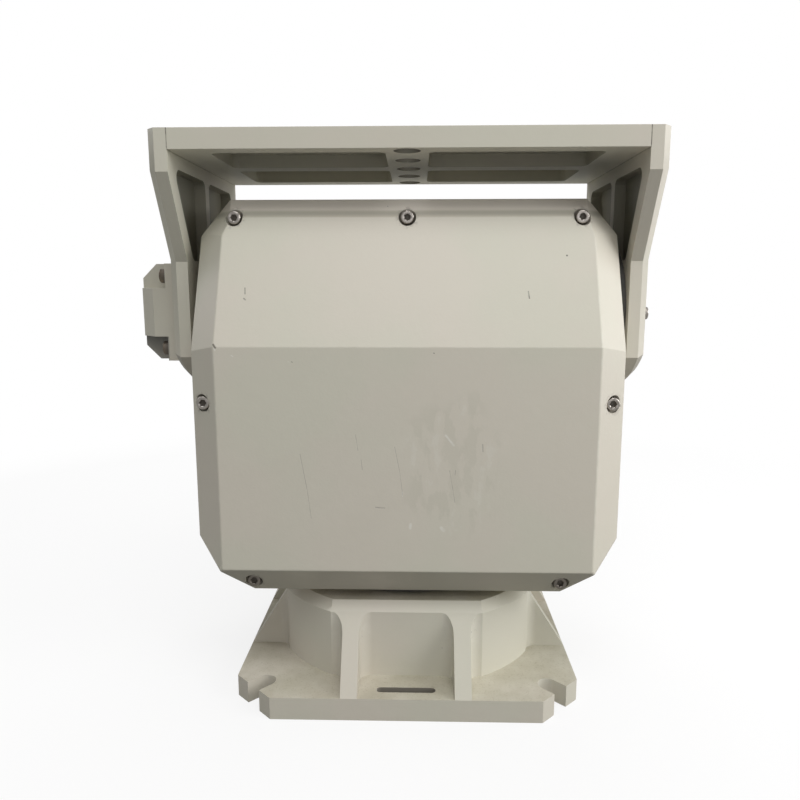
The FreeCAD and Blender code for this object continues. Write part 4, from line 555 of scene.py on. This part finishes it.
def bracket_marks(tree, place, colour, rough, height):
    """Painted shade in the relief pockets and on the payload holes' walls, painted light on the underside to
    the rear, and dirt in the joints.
    """
    parts = axes(tree, place)
    recess = attribute(tree, "recess")
    facing = upward(tree)
    # Painted shade in the relief pockets
    colour = stained(tree, colour, recess, POCKET_SHADE)
    # Painted shade on the walls of the payload holes
    wall = step(tree, distance(tree, facing), low=0.75, high=0.5)
    wall = times(tree, wall, step(tree, distance(tree, parts["X"]), HOLE_EDGE, HOLE_ROUND))
    wall = times(tree, wall, step(tree, distance(tree, parts["Y"]), HOLES_END + MM, HOLES_END))
    colour = stained(tree, colour, wall, HOLE_WALL_SHADE)
    # Painted light on the plate's underside, rising to the rear, outside the pockets
    under = step(tree, facing, low=-0.9, high=-0.97)
    under = times(tree, under, step(tree, parts["Z"], PLATE_FOOT - MM, PLATE_FOOT))
    under = times(tree, under, step(tree, parts["Y"], -HOLES_END, 0.0))
    under = times(tree, under, calculate(tree, "SUBTRACT", 1.0, recess))
    colour = stained(tree, colour, under, UNDERSIDE_PAINTED_LIGHT, strength=0.9)
    return stained(tree, colour, joint_dirt(tree, place), GRIME), rough, height


# The hub cover's painted shadow
HUB_LEDGE = 242.0 * MM
HUB_EAR = 17.0 * MM
HUB_EAR_FACE = -168.8 * MM
HUB_WALL = 19.8 * MM
EAR_PAINTED_SHADOW = (0.18, 0.18, 0.17, 1)


def hub_painted_shadow(tree, place, colour, rough, height):
    """Painted shadow under the ledge of the hub cover's box, over its two lower ears, darkest near the ledge.
    """
    parts = axes(tree, place)
    under = step(tree, parts["Z"], HUB_LEDGE, HUB_LEDGE - MM)
    outside = step(tree, parts["X"], HUB_EAR_FACE, HUB_EAR_FACE - MM)
    aside = step(tree, distance(tree, parts["Y"]), HUB_WALL - MM, HUB_WALL)
    under = times(tree, under, times(tree, outside, aside))
    # Painted shadow of the box's ledge, darkest near the ledge
    fading = step(tree, parts["Z"], HUB_LEDGE - HUB_EAR, HUB_LEDGE)
    strength = times(tree, under, rising(tree, fading, span=0.35, start=0.5))
    return stained(tree, colour, strength, EAR_PAINTED_SHADOW), rough, height


# Finishes of steel, rubber and plastic

SCREW_LIGHT = (0.72, 0.67, 0.62, 1)
SCREW_DEEP = (0.48, 0.44, 0.40, 1)
# Tones of the hub cover's screws, whose darkness is painted shade; the deep tone also darkens the screws
# below 100 mm
DARK_SCREW_LIGHT = (0.34, 0.28, 0.22, 1)
DARK_SCREW_DEEP = (0.13, 0.105, 0.08, 1)
LOW_SCREWS = 100.0 * MM
TILT_HEIGHT = 258.5 * MM
ACROSS_X = (0, 1, 1)
ALL_ALIKE = (1.0, 1.0, 1.0)
STEEL_GRAIN = 1500.0
TOOL_LINES = 1500.0
GLOSS_SPREAD = 0.12


def screw_finish(name, light, deep):
    """Stainless steel with painted shade and grime in the hexagon and round the foot of the head, darker on
    screws below 100 mm.
    """
    made, tree, shader, place = new_finish(name)
    tone = use_group(tree, MOTTLE, Place=place, Size=1.4)["Tone"]
    soil = attribute(tree, "soil")
    held = step(tree, rising(tree, soil, span=0.6, start=tone), low=0.55, high=0.95)
    held = times(tree, held, step(tree, soil, low=0.1, high=0.5))
    # Darker on the screws below 100 mm
    low = step(tree, axes(tree, place)["Z"], low=LOW_SCREWS, high=LOW_SCREWS * 0.9)
    colour = blend(tree, step(tree, tone, low=0.36, high=0.64), deep, light)
    colour = stained(tree, colour, low, DARK_SCREW_DEEP, strength=0.6)
    # Painted shade and grime in the hexagon and round the foot of the head
    colour = stained(tree, colour, held, RECESS_SHADE_AND_DIRT, strength=0.9)
    rough = rising(tree, held, span=0.35, start=rising(tree, tone, span=0.2, start=0.18))
    metal = rising(tree, held, span=-0.75, start=1.0)
    peel = use_group(tree, ORANGE_PEEL, Place=place, Grain=STEEL_GRAIN)["Height"]
    wire(tree, shader, Base_Color=colour, Roughness=rough, Metallic=metal)
    bumped(tree, shader, peel, strength=0.1, depth=0.3 * MM)
    return made


def simple_finish(name, light, dark, roughness, grain, metallic=0.0, bump=0.12):
    """A finish of two near tones with grain and an uneven gloss."""
    made, tree, shader, place = new_finish(name)
    tone = use_group(tree, MOTTLE, Place=place, Size=1.0)["Tone"]
    colour = blend(tree, step(tree, tone, low=0.34, high=0.66), (*dark, 1), (*light, 1))
    rough = rising(tree, tone, span=GLOSS_SPREAD * 2, start=roughness - GLOSS_SPREAD)
    peel = use_group(tree, ORANGE_PEEL, Place=place, Grain=grain)["Height"]
    wire(tree, shader, Base_Color=colour, Roughness=rough, Metallic=metallic)
    bumped(tree, shader, peel, strength=bump, depth=0.3 * MM)
    return made


def machined_finish(name, light, dark, roughness, squash=ALL_ALIKE, turned_about=None):
    """Bare metal with fine tool lines along one axis, or in rings about an axis along X at a given height."""
    made, tree, shader, place = new_finish(name)
    along = stretched(tree, place, squash)
    if turned_about:
        centred = vector(tree, "SUBTRACT", place, (0, 0, turned_about))
        reach = vector(tree, "LENGTH", vector(tree, "MULTIPLY", centred, ACROSS_X))
        along = joined_axes(tree, axes(tree, place)["X"], reach, 0.0)
    cut_lines = use_group(tree, MACHINING, Place=along, Spacing=TOOL_LINES)
    colour = blend(tree, step(tree, cut_lines["Tone"], low=0.35, high=0.65), (*dark, 1), (*light, 1))
    rough = rising(tree, cut_lines["Tone"], span=0.2, start=roughness - 0.1)
    wire(tree, shader, Base_Color=colour, Roughness=rough, Metallic=1.0)
    bumped(tree, shader, cut_lines["Height"], strength=0.15, depth=0.2 * MM)
    return made


# Softened copies of the machined and cast pieces

MERGE_REACH = 0.004 * MM
FLAT_ANGLE = math.radians(0.4)
CREASE_ANGLE = math.radians(24)
THIN_FACE = 1.7 * MM
POCKET_SPAN = 160.0 * MM
SLOT_SPAN = 9.0 * MM
RAY_LIFT = 0.05 * MM
WALL_SHARE = 0.7


def joined_mesh(node):
    """The CAD node's loose triangles joined up."""
    work = bmesh.new()
    work.from_mesh(frame["nodes"][node].data)
    bmesh.ops.remove_doubles(work, verts=work.verts, dist=MERGE_REACH)
    return work


def smooth(work):
    for face in work.faces:
        face.smooth = True


def as_piece(name, work, finish):
    mesh = bpy.data.meshes.new(name)
    work.to_mesh(mesh)
    work.free()
    mesh.materials.clear()
    mesh.materials.append(finish)
    return in_scene(name, mesh)


def give_values(mesh, name, values):
    """A number for each point of the mesh, as a named attribute."""
    mesh.attributes.new(name, "FLOAT", "POINT").data.foreach_set("value", values)


def make_plain(piece):
    """Work the modifiers into the piece's own mesh and take them off."""
    evaluated = piece.evaluated_get(bpy.context.evaluated_depsgraph_get())
    mesh = bpy.data.meshes.new_from_object(evaluated)
    piece.modifiers.clear()
    old = piece.data
    piece.data = mesh
    bpy.data.meshes.remove(old)
    mesh.name = piece.name


def mark_edges(piece):
    """Set the edge attribute to 1 where the surface bends outwards sharply, and to 0 elsewhere."""
    work = bmesh.new()
    work.from_mesh(piece.data)
    thin = {face for face in work.faces if 2 * face.calc_area() < THIN_FACE * face.calc_perimeter()}
    values = []
    for corner in work.verts:
        bend = sum(edge.calc_face_angle_signed(0) for edge in corner.link_edges if edge.is_manifold)
        sharp = all(face in thin for face in corner.link_faces) and bend > 0
        values.append(1.0 if sharp else 0.0)
    work.free()
    give_values(piece.data, "edge", values)


def mark_recesses(work, level, span):
    """Set the recess value on pocket floors and the walls round them, or on a narrow slot's own walls."""
    tree = BVHTree.FromBMesh(work)
    layer = work.faces.layers.float.new("recess")
    walls = set()
    for face in work.faces:
        start = face.calc_center_median() + face.normal * RAY_LIFT
        if tree.ray_cast(start, face.normal, span)[0]:
            walls.add(face)
            if span < POCKET_SPAN:
                face[layer] = level
    for face in work.faces:
        around = {other for edge in face.edges for other in edge.link_faces if other is not face}
        floor = face not in walls and all(other in walls for other in around)
        if floor:
            face[layer] = level
            for other in around:
                other[layer] = level * WALL_SHARE


def softened(node, finish, width, recess=0.0, span=POCKET_SPAN):
    """A copy of a CAD node whose hard edges are rounded and whose normals keep flat faces flat."""
    work = joined_mesh(node)
    bmesh.ops.dissolve_limit(work, angle_limit=FLAT_ANGLE, verts=work.verts, edges=work.edges)
    if recess:
        mark_recesses(work, recess, span)
    smooth(work)
    piece = as_piece(f"{node}_finished", work, finish)
    bevel = piece.modifiers.new("soft_edges", "BEVEL")
    bevel.limit_method = "ANGLE"
    bevel.angle_limit = CREASE_ANGLE
    bevel.width = width * MM
    bevel.segments = 2
    bevel.use_clamp_overlap = True
    normals = piece.modifiers.new("flat_faces_lead", "WEIGHTED_NORMAL")
    normals.mode = "FACE_AREA"
    normals.weight = 100
    make_plain(piece)
    mark_edges(piece)
    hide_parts(node)
    return piece


def ride_with(piece, node):
    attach(piece, NODE_BODY[node])


# Screws, made by a node tree from the places of the CAD screws. Sizes are in mm

HEAD_POINTS = 36
SHANK_POINTS = 24
SHARP_ANGLE = math.radians(32)
SIXTH_TURN = math.pi / 3
SEEN_SLICE = 0.2 * MM
RIM_STEPS = 4

# Shares of the head's radius
RIM_ROUND = 0.16
FOOT_ROUND = 0.07
FOOT_MIDDLE = 0.5

# The hexagon's mouth as (radius, depth, whether it has six sides), and the drilled bottom, in half keys
KEY_MOUTH = ((1.2, 0.0, False), (1.03, 0.1, True), (1.0, 0.2, True))
DRILLED_ROUND = 0.8
DRILLED_EDGE = 0.12
DRILLED_TIP = 0.42

# Painted shade and grime on each ring of a head, from its foot to the bottom of its hexagon, and on the
# drilled tip
HEAD_SHADE_AND_SOIL = (1.0, 1.0, 0.7, 0.3, 0.0, 0.0, 0.0, 0.0, 0.0, 0.15, 0.45, 0.8, 0.75)
TIP_SHADE_AND_SOIL = 0.5

# Shares of a shank's length and radius
TAPER_START = 0.985
TAPER_ROUND = 0.8


def ring(work, count, radius, height, hexagon=False):
    """One ring of corners round Z. A hexagon's radius is to its flats."""
    made = []
    for index in range(count):
        turn = 2 * math.pi * index / count
        reach = radius
        if hexagon:
            reach = radius / math.cos((turn % SIXTH_TURN) - SIXTH_TURN / 2)
        made.append(work.verts.new((reach * math.cos(turn), reach * math.sin(turn), height)))
    return made


def skin(work, rings):
    """Faces from each ring of corners to the one above it, and one that closes the lowest ring."""
    for lower, upper in zip(rings, rings[1:]):
        for index in range(len(lower)):
            following = (index + 1) % len(lower)
            work.faces.new((lower[index], lower[following], upper[following], upper[index]))
    work.faces.new(list(reversed(rings[0])))


def turned_piece(name, work, finish):
    """A smooth piece whose sharp edges stay sharp."""
    smooth(work)
    piece = as_piece(name, work, finish)
    piece.data.set_sharp_from_angle(angle=SHARP_ANGLE)
    return piece


def screw_head(name, finish, head_round, head_height, key, key_depth):
    """A socket cap head with a rounded rim, a countersunk hexagon and a drilled bottom, seated at zero."""
    rim = RIM_ROUND * head_round
    lip = FOOT_ROUND * head_round
    half_key = key / 2
    floor = head_height - key_depth
    rows = [(head_round * FOOT_MIDDLE, 0, False), (head_round - lip, 0, False), (head_round, lip, False)]
    for index in range(RIM_STEPS + 1):
        turn = math.pi / 2 * index / RIM_STEPS
        reach = head_round - rim + rim * math.cos(turn)
        rows.append((reach, head_height - rim + rim * math.sin(turn), False))
    for reach, depth, hexagon in KEY_MOUTH:
        rows.append((half_key * reach, head_height - half_key * depth, hexagon))
    rows.append((half_key, floor, True))
    rows.append((half_key * DRILLED_ROUND, floor - half_key * DRILLED_EDGE, False))
    work = bmesh.new()
    rings = [ring(work, HEAD_POINTS, radius * MM, height * MM, hexagon) for radius, height, hexagon in rows]
    tip = work.verts.new((0, 0, (floor - half_key * DRILLED_TIP) * MM))
    skin(work, rings)
    for index in range(HEAD_POINTS):
        work.faces.new((rings[-1][index], rings[-1][(index + 1) % HEAD_POINTS], tip))
    head = turned_piece(name, work, finish)
    give_values(head.data, "soil", [value for value in HEAD_SHADE_AND_SOIL for _ in range(HEAD_POINTS)] + [TIP_SHADE_AND_SOIL])
    return head


def screw_shank(name, finish, shank_round):
    """A shank one metre long below zero, which the tree shortens to each screw's length."""
    work = bmesh.new()
    rows = ((shank_round * TAPER_ROUND, -1.0), (shank_round, -TAPER_START), (shank_round, 0))
    rings = [ring(work, SHANK_POINTS, radius * MM, height) for radius, height in rows]
    skin(work, rings)
    work.faces.new(rings[-1])
    return turned_piece(name, work, finish)


def screw_tree():
    """A head and a shank on each point, turned along the point's own direction."""
    tree = bpy.data.node_groups.new("socket_screws", "GeometryNodeTree")
    sockets = {"Places": "Geometry", "Head": "Object", "Shank": "Object", "Finish": "Material", "Seed": "Int"}
    for label, kind in sockets.items():
        tree.interface.new_socket(label, in_out="INPUT", socket_type=f"NodeSocket{kind}")
    tree.interface.new_socket("Screws", in_out="OUTPUT", socket_type="NodeSocketGeometry")
    given = tree.nodes.new("NodeGroupInput").outputs
    result = tree.nodes.new("NodeGroupOutput").inputs
    way = add(tree, "GeometryNodeInputNamedAttribute", {"Name": "way"}, data_type="FLOAT_VECTOR").outputs[0]
    long = add(tree, "GeometryNodeInputNamedAttribute", {"Name": "length"}, data_type="FLOAT").outputs[0]
    turn = add(tree, "FunctionNodeAlignRotationToVector", {"Vector": way}, axis="Z").outputs[0]
    chance = add(tree, "FunctionNodeRandomValue", data_type="FLOAT")
    limits = {"Min": -math.pi, "Max": math.pi, "Seed": given["Seed"]}
    for socket in chance.inputs:
        if socket.enabled and socket.name in limits:
            put(tree, socket, limits[socket.name])
    angle = next(socket for socket in chance.outputs if socket.enabled)
    spin = add(tree, "FunctionNodeAxisAngleToRotation", {"Axis": (0, 0, 1), "Angle": angle}).outputs[0]
    turned = add(tree, "FunctionNodeRotateRotation", {0: turn, 1: spin}, rotation_space="LOCAL").outputs[0]
    joined = add(tree, "GeometryNodeJoinGeometry")
    for label, size in (("Head", None), ("Shank", joined_axes(tree, 1.0, 1.0, long))):
        model = add(tree, "GeometryNodeObjectInfo", {"Object": given[label], "As Instance": True})
        inputs = {"Points": given["Places"], "Instance": model.outputs["Geometry"], "Rotation": turned}
        if size:
            inputs["Scale"] = size
        tree.links.new(add(tree, "GeometryNodeInstanceOnPoints", inputs).outputs[0], joined.inputs[0])
    real = add(tree, "GeometryNodeRealizeInstances", {0: joined.outputs[0]}).outputs[0]
    coated = add(tree, "GeometryNodeSetMaterial", {"Geometry": real, "Material": given["Finish"]}).outputs[0]
    tree.links.new(coated, result["Screws"])
    return tree


def islands(node):
    """The separate solids of a node, each as the list of its corner places."""
    work = joined_mesh(node)
    left = set(work.verts)
    found = []
    while left:
        first = left.pop()
        group = [first]
        waiting = [first]
        while waiting:
            for edge in waiting.pop().link_edges:
                for other in edge.verts:
                    if other in left:
                        left.remove(other)
                        group.append(other)
                        waiting.append(other)
        found.append([corner.co.copy() for corner in group])
    work.free()
    return found


def widest(points, middle, along, level):
    """The largest reach from the middle among the points of a thin slice across one axis."""
    across = [axis for axis in range(3) if axis != along]
    near = [point for point in points if abs(point[along] - level) < SEEN_SLICE]
    return max(math.hypot(*(point[axis] - middle[axis] for axis in across)) for point in near)


def screw_places(node, head_height):
    """Seat, outward direction and shank length of every screw in a node."""
    found = []
    for points in islands(node):
        low = Vector([min(point[axis] for point in points) for axis in range(3)])
        high = Vector([max(point[axis] for point in points) for axis in range(3)])
        size = high - low
        along = max(range(3), key=lambda axis: size[axis])
        middle = (low + high) / 2
        upper = widest(points, middle, along, high[along])
        outward = 1 if upper > widest(points, middle, along, low[along]) else -1
        top = high[along] if outward > 0 else low[along]
        seat = middle.copy()
        seat[along] = top - outward * head_height * MM
        way = Vector((0, 0, 0))
        way[along] = outward
        found.append((seat, way, size[along] - head_height * MM))
    return found


def screws(node, tree, head_height, head, shank, finish, seed):
    """The screws of one CAD node, as one plain mesh."""
    places = screw_places(node, head_height)
    mesh = bpy.data.meshes.new(f"{node}_made")
    mesh.from_pydata([seat for seat, _, _ in places], [], [])
    ways = mesh.attributes.new("way", "FLOAT_VECTOR", "POINT")
    ways.data.foreach_set("vector", [part for _, way, _ in places for part in way])
    give_values(mesh, "length", [length for _, _, length in places])
    piece = in_scene(f"{node}_made", mesh)
    modifier = piece.modifiers.new("screws", "NODES")
    modifier.node_group = tree
    given = {"Head": head, "Shank": shank, "Finish": finish, "Seed": seed}
    for item in tree.interface.items_tree:
        if item.in_out == "INPUT" and item.name in given:
            modifier[item.identifier] = given[item.name]
    make_plain(piece)
    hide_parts(node)
    ride_with(piece, node)


# Which body each CAD node rides on, and its own finish slot

BODIES = frame["record"]["behaviour"]["bodies"]
NODE_BODY = {member: body for body, members in BODIES.items() for member in members}
NODE_SLOT = {part["node"]: part["material_slot"] for part in frame["record"]["subparts"]}


# Finishes for each slot

coat = powder_coat("powder_coat")
base_coat = powder_coat("foot_coat", dust=1.0, dust_colour=FOOT_DUST, marks=slot_painted_shade)
front_coat = powder_coat("front_cover_coat", down_shade=0.6, marks=front_cover_marks)
rear_coat = powder_coat("rear_cover_coat", down_shade=0.6, marks=cover_marks)
bracket_coat = powder_coat("bracket_coat", wear=0.6, down_shade=0.4, marks=bracket_marks)
hub_coat = powder_coat("hub_cover_coat", wear=0.6, down_shade=0.85, marks=hub_painted_shadow)
stainless = screw_finish("stainless_screws", SCREW_LIGHT, SCREW_DEEP)
# Painted shade: a darker copy of the screw finish for the hub cover's screws, which sit in notches
shaded_hub_screw_steel = screw_finish("dulled_screws", DARK_SCREW_LIGHT, DARK_SCREW_DEEP)
SLOT_FINISH = {"coat": coat, "screw_steel": stainless}
for slot, name, light, dark, roughness, squash in (
    ("post_steel", "turned_steel", (0.55, 0.55, 0.56), (0.42, 0.42, 0.43), 0.34, (0.02, 0.02, 1.0)),
    ("bearing_steel", "ground_steel", (0.68, 0.68, 0.69), (0.55, 0.55, 0.56), 0.2, (0.05, 0.05, 1.0)),
    ("gear_steel", "hobbed_steel", (0.42, 0.42, 0.43), (0.30, 0.29, 0.28), 0.36, (1.0, 1.0, 0.04)),
    ("bare_aluminium", "milled_aluminium", (0.72, 0.72, 0.73), (0.60, 0.60, 0.62), 0.38, (1.0, 0.03, 0.03)),
):
    SLOT_FINISH[slot] = machined_finish(name, light, dark, roughness, squash)
for slot, name, light, dark, roughness, grain in (
    ("dark_ring", "dark_anodised_ring", (0.10, 0.098, 0.09), (0.055, 0.053, 0.05), 0.5, 900.0),
    ("seal_rubber", "shaft_seal_rubber", (0.03, 0.03, 0.03), (0.015, 0.015, 0.015), 0.6, 800.0),
    ("gasket_rubber", "gasket_rubber", (0.05, 0.05, 0.048), (0.028, 0.028, 0.028), 0.75, 700.0),
    ("motor_case", "black_motor_enamel", (0.045, 0.045, 0.048), (0.025, 0.025, 0.027), 0.42, 520.0),
    ("socket_insert", "socket_insert_plastic", (0.04, 0.04, 0.04), (0.02, 0.02, 0.02), 0.5, 900.0),
    ("slip_case", "slip_ring_plastic", (0.06, 0.06, 0.065), (0.035, 0.035, 0.04), 0.48, 600.0),
    ("board_green", "board_lacquer", (0.03, 0.16, 0.06), (0.02, 0.10, 0.04), 0.35, 300.0),
    ("board_black", "board_parts_plastic", (0.04, 0.04, 0.043), (0.02, 0.02, 0.022), 0.55, 900.0),
):
    SLOT_FINISH[slot] = simple_finish(name, light, dark, roughness, grain)
SLOT_FINISH["socket_metal"] = simple_finish(
    "nickel_sockets", (0.58, 0.55, 0.49), (0.42, 0.39, 0.34), 0.3, 1200.0, metallic=1.0, bump=0.08
)
shaft_steel = machined_finish(
    "turned_shaft_steel", (0.52, 0.52, 0.52), (0.38, 0.38, 0.37), 0.36, turned_about=TILT_HEIGHT
)


# Pieces, with the width of their soft edges in mm, and the strength and span of the shade in recesses

for node, finish, width, recess, span in (
    ("base_casting", base_coat, 1.0, 0.8, SLOT_SPAN), ("main_housing", coat, 0.5, 0.0, 0.0),
    ("left_hub_cover", hub_coat, 0.6, 0.0, 0.0),
    ("front_cover", front_coat, 0.35, 0.0, 0.0), ("rear_cover", rear_coat, 0.35, 0.0, 0.0),
    ("left_arm", bracket_coat, 0.8, 0.75, POCKET_SPAN), ("right_arm", bracket_coat, 0.8, 0.75, POCKET_SPAN),
    ("top_plate", bracket_coat, 0.6, 0.36, POCKET_SPAN),
):
    ride_with(softened(node, finish, width, recess, span), node)
for node, slot, width in (
    ("pan_skirt_ring", "dark_ring", 0.4), ("rear_socket_shells", "socket_metal", 0.25),
    ("left_hub_flange", "dark_ring", 0.4), ("right_hub_flange", "dark_ring", 0.4),
):
    ride_with(softened(node, SLOT_FINISH[slot], width), node)

SCREW_SIZES = {
    "m5": {"head_round": 4.25, "head_height": 5.0, "key": 4.0, "key_depth": 2.5},
    "m6": {"head_round": 5.0, "head_height": 6.0, "key": 5.0, "key_depth": 3.0},
}
SHANK_ROUNDS = {"m5": 2.5, "m6": 3.0}
SCREW_NODES = (
    ("front_cover_screws", "m5", stainless), ("rear_cover_screws", "m5", stainless),
    ("plate_screws", "m5", stainless), ("left_hub_screws", "m5", stainless),
    ("right_hub_screws", "m5", stainless), ("post_screws", "m5", stainless),
    ("bracket_screws", "m5", stainless), ("hub_cover_screws", "m6", shaded_hub_screw_steel),
)
screws_on_points = screw_tree()
heads = {name: screw_head(f"{name}_head_model", stainless, **size) for name, size in SCREW_SIZES.items()}
shanks = {name: screw_shank(f"{name}_shank_model", stainless, size) for name, size in SHANK_ROUNDS.items()}
for seed, (node, size, finish) in enumerate(SCREW_NODES):
    head_height = SCREW_SIZES[size]["head_height"]
    screws(node, screws_on_points, head_height, heads[size], shanks[size], finish, seed)
for model in (*heads.values(), *shanks.values()):
    bpy.data.objects.remove(model)

for name, thing in frame["nodes"].items():
    if not thing.hide_render:
        for holder in thing.material_slots:
            holder.material = shaft_steel if name == "tilt_shaft" else SLOT_FINISH[NODE_SLOT[name]]

photo_camera()


# Floor and light

WHITE = (1.0, 1.0, 1.0, 1)
WORLD_STRENGTH = 0.3
FLOOR_ROUND = 8.0
FLOOR_POINTS = 96
FLOOR_NEAR = 0.25
FLOOR_FAR = 0.9
FLOOR_COLOUR = (0.9, 0.9, 0.9, 1)
FLOOR_CLOUDS = (0.7, 0.7, 0.7, 1)
FLOOR_BOUNCE = (0.30, 0.30, 0.29, 1)
FLOOR_GLOW = 0.8
CLOUD_SHARE = 0.05
FOOT_EDGE = 0.11
LIT_POINT = Vector((0.0, 0.0, 0.2))
SOFTBOXES = {
    "key_right": ((1.4, -0.7, 0.8), 0.9, 0.9, 12.2),
    "overhead_front": ((0.1, -0.9, 1.7), 1.2, 0.8, 12.6),
    "overhead": ((0.0, 0.1, 1.7), 1.2, 1.2, 1.2),
    "right_side": ((1.6, 0.2, 0.5), 0.9, 0.9, 7.0),
    "front_low": ((0.2, -1.7, 0.35), 1.0, 0.6, 1.2),
    "behind": ((0.0, 1.2, 1.5), 1.4, 0.8, 10.0),
    "left_behind": ((-1.4, 0.7, 1.0), 0.9, 0.9, 4.0),
}


def camera_sees(tree):
    return tree.nodes.new("ShaderNodeLightPath").outputs["Is Camera Ray"]


def pale_floor():
    """A wide plain floor that fades into the white surroundings."""
    work = bmesh.new()
    bmesh.ops.create_circle(work, cap_ends=True, segments=FLOOR_POINTS, radius=FLOOR_ROUND)
    made, tree, shader, place = new_finish("studio_floor")
    far = vector(tree, "LENGTH", place)
    seen = camera_sees(tree)
    cloud = noise(tree, place, scale=3.0, detail=3.0, roughness=0.5)
    pale = stained(tree, FLOOR_COLOUR, cloud, FLOOR_CLOUDS, strength=CLOUD_SHARE)
    colour = blend(tree, seen, FLOOR_BOUNCE, pale)
    wire(tree, shader, Base_Color=colour, Roughness=0.9, Specular_IOR_Level=0.0)
    glow = add(tree, "ShaderNodeEmission", {"Color": WHITE, "Strength": 1.0}).outputs[0]
    fade = step(tree, far, low=FLOOR_NEAR, high=FLOOR_FAR)
    share = times(tree, calculate(tree, "MAXIMUM", fade, FLOOR_GLOW), seen)
    share = times(tree, share, step(tree, far, low=FOOT_EDGE * 0.97, high=FOOT_EDGE))
    mixed = add(tree, "ShaderNodeMixShader", {0: share, 1: shader.outputs[0], 2: glow}).outputs[0]
    tree.links.new(mixed, tree.nodes["Material Output"].inputs["Surface"])
    as_piece("studio_floor", work, made)


def soft_world():
    """White surroundings that light the scene with less than the camera sees."""
    world = bpy.data.worlds.new("studio_world")
    world.use_nodes = True
    bpy.context.scene.world = world
    tree = world.node_tree
    strength = rising(tree, camera_sees(tree), span=1.0 - WORLD_STRENGTH, start=WORLD_STRENGTH)
    wire(tree, tree.nodes["Background"], Color=WHITE, Strength=strength)


def softbox(name, place, width, height, power):
    light = bpy.data.lights.new(name, "AREA")
    light.shape = "RECTANGLE"
    light.size = width
    light.size_y = height
    light.energy = power
    lamp = in_scene(name, light)
    away = Vector(place) - LIT_POINT
    lamp.matrix_world = Matrix.Translation(Vector(place)) @ away.to_track_quat("Z", "Y").to_matrix().to_4x4()


for name, (place, width, height, power) in SOFTBOXES.items():
    softbox(name, place, width, height, power)
pale_floor()
soft_world()
view = bpy.context.scene.view_settings
view.view_transform = "Standard"
view.look = "None"
view.exposure = 0.0
view.gamma = 1.0
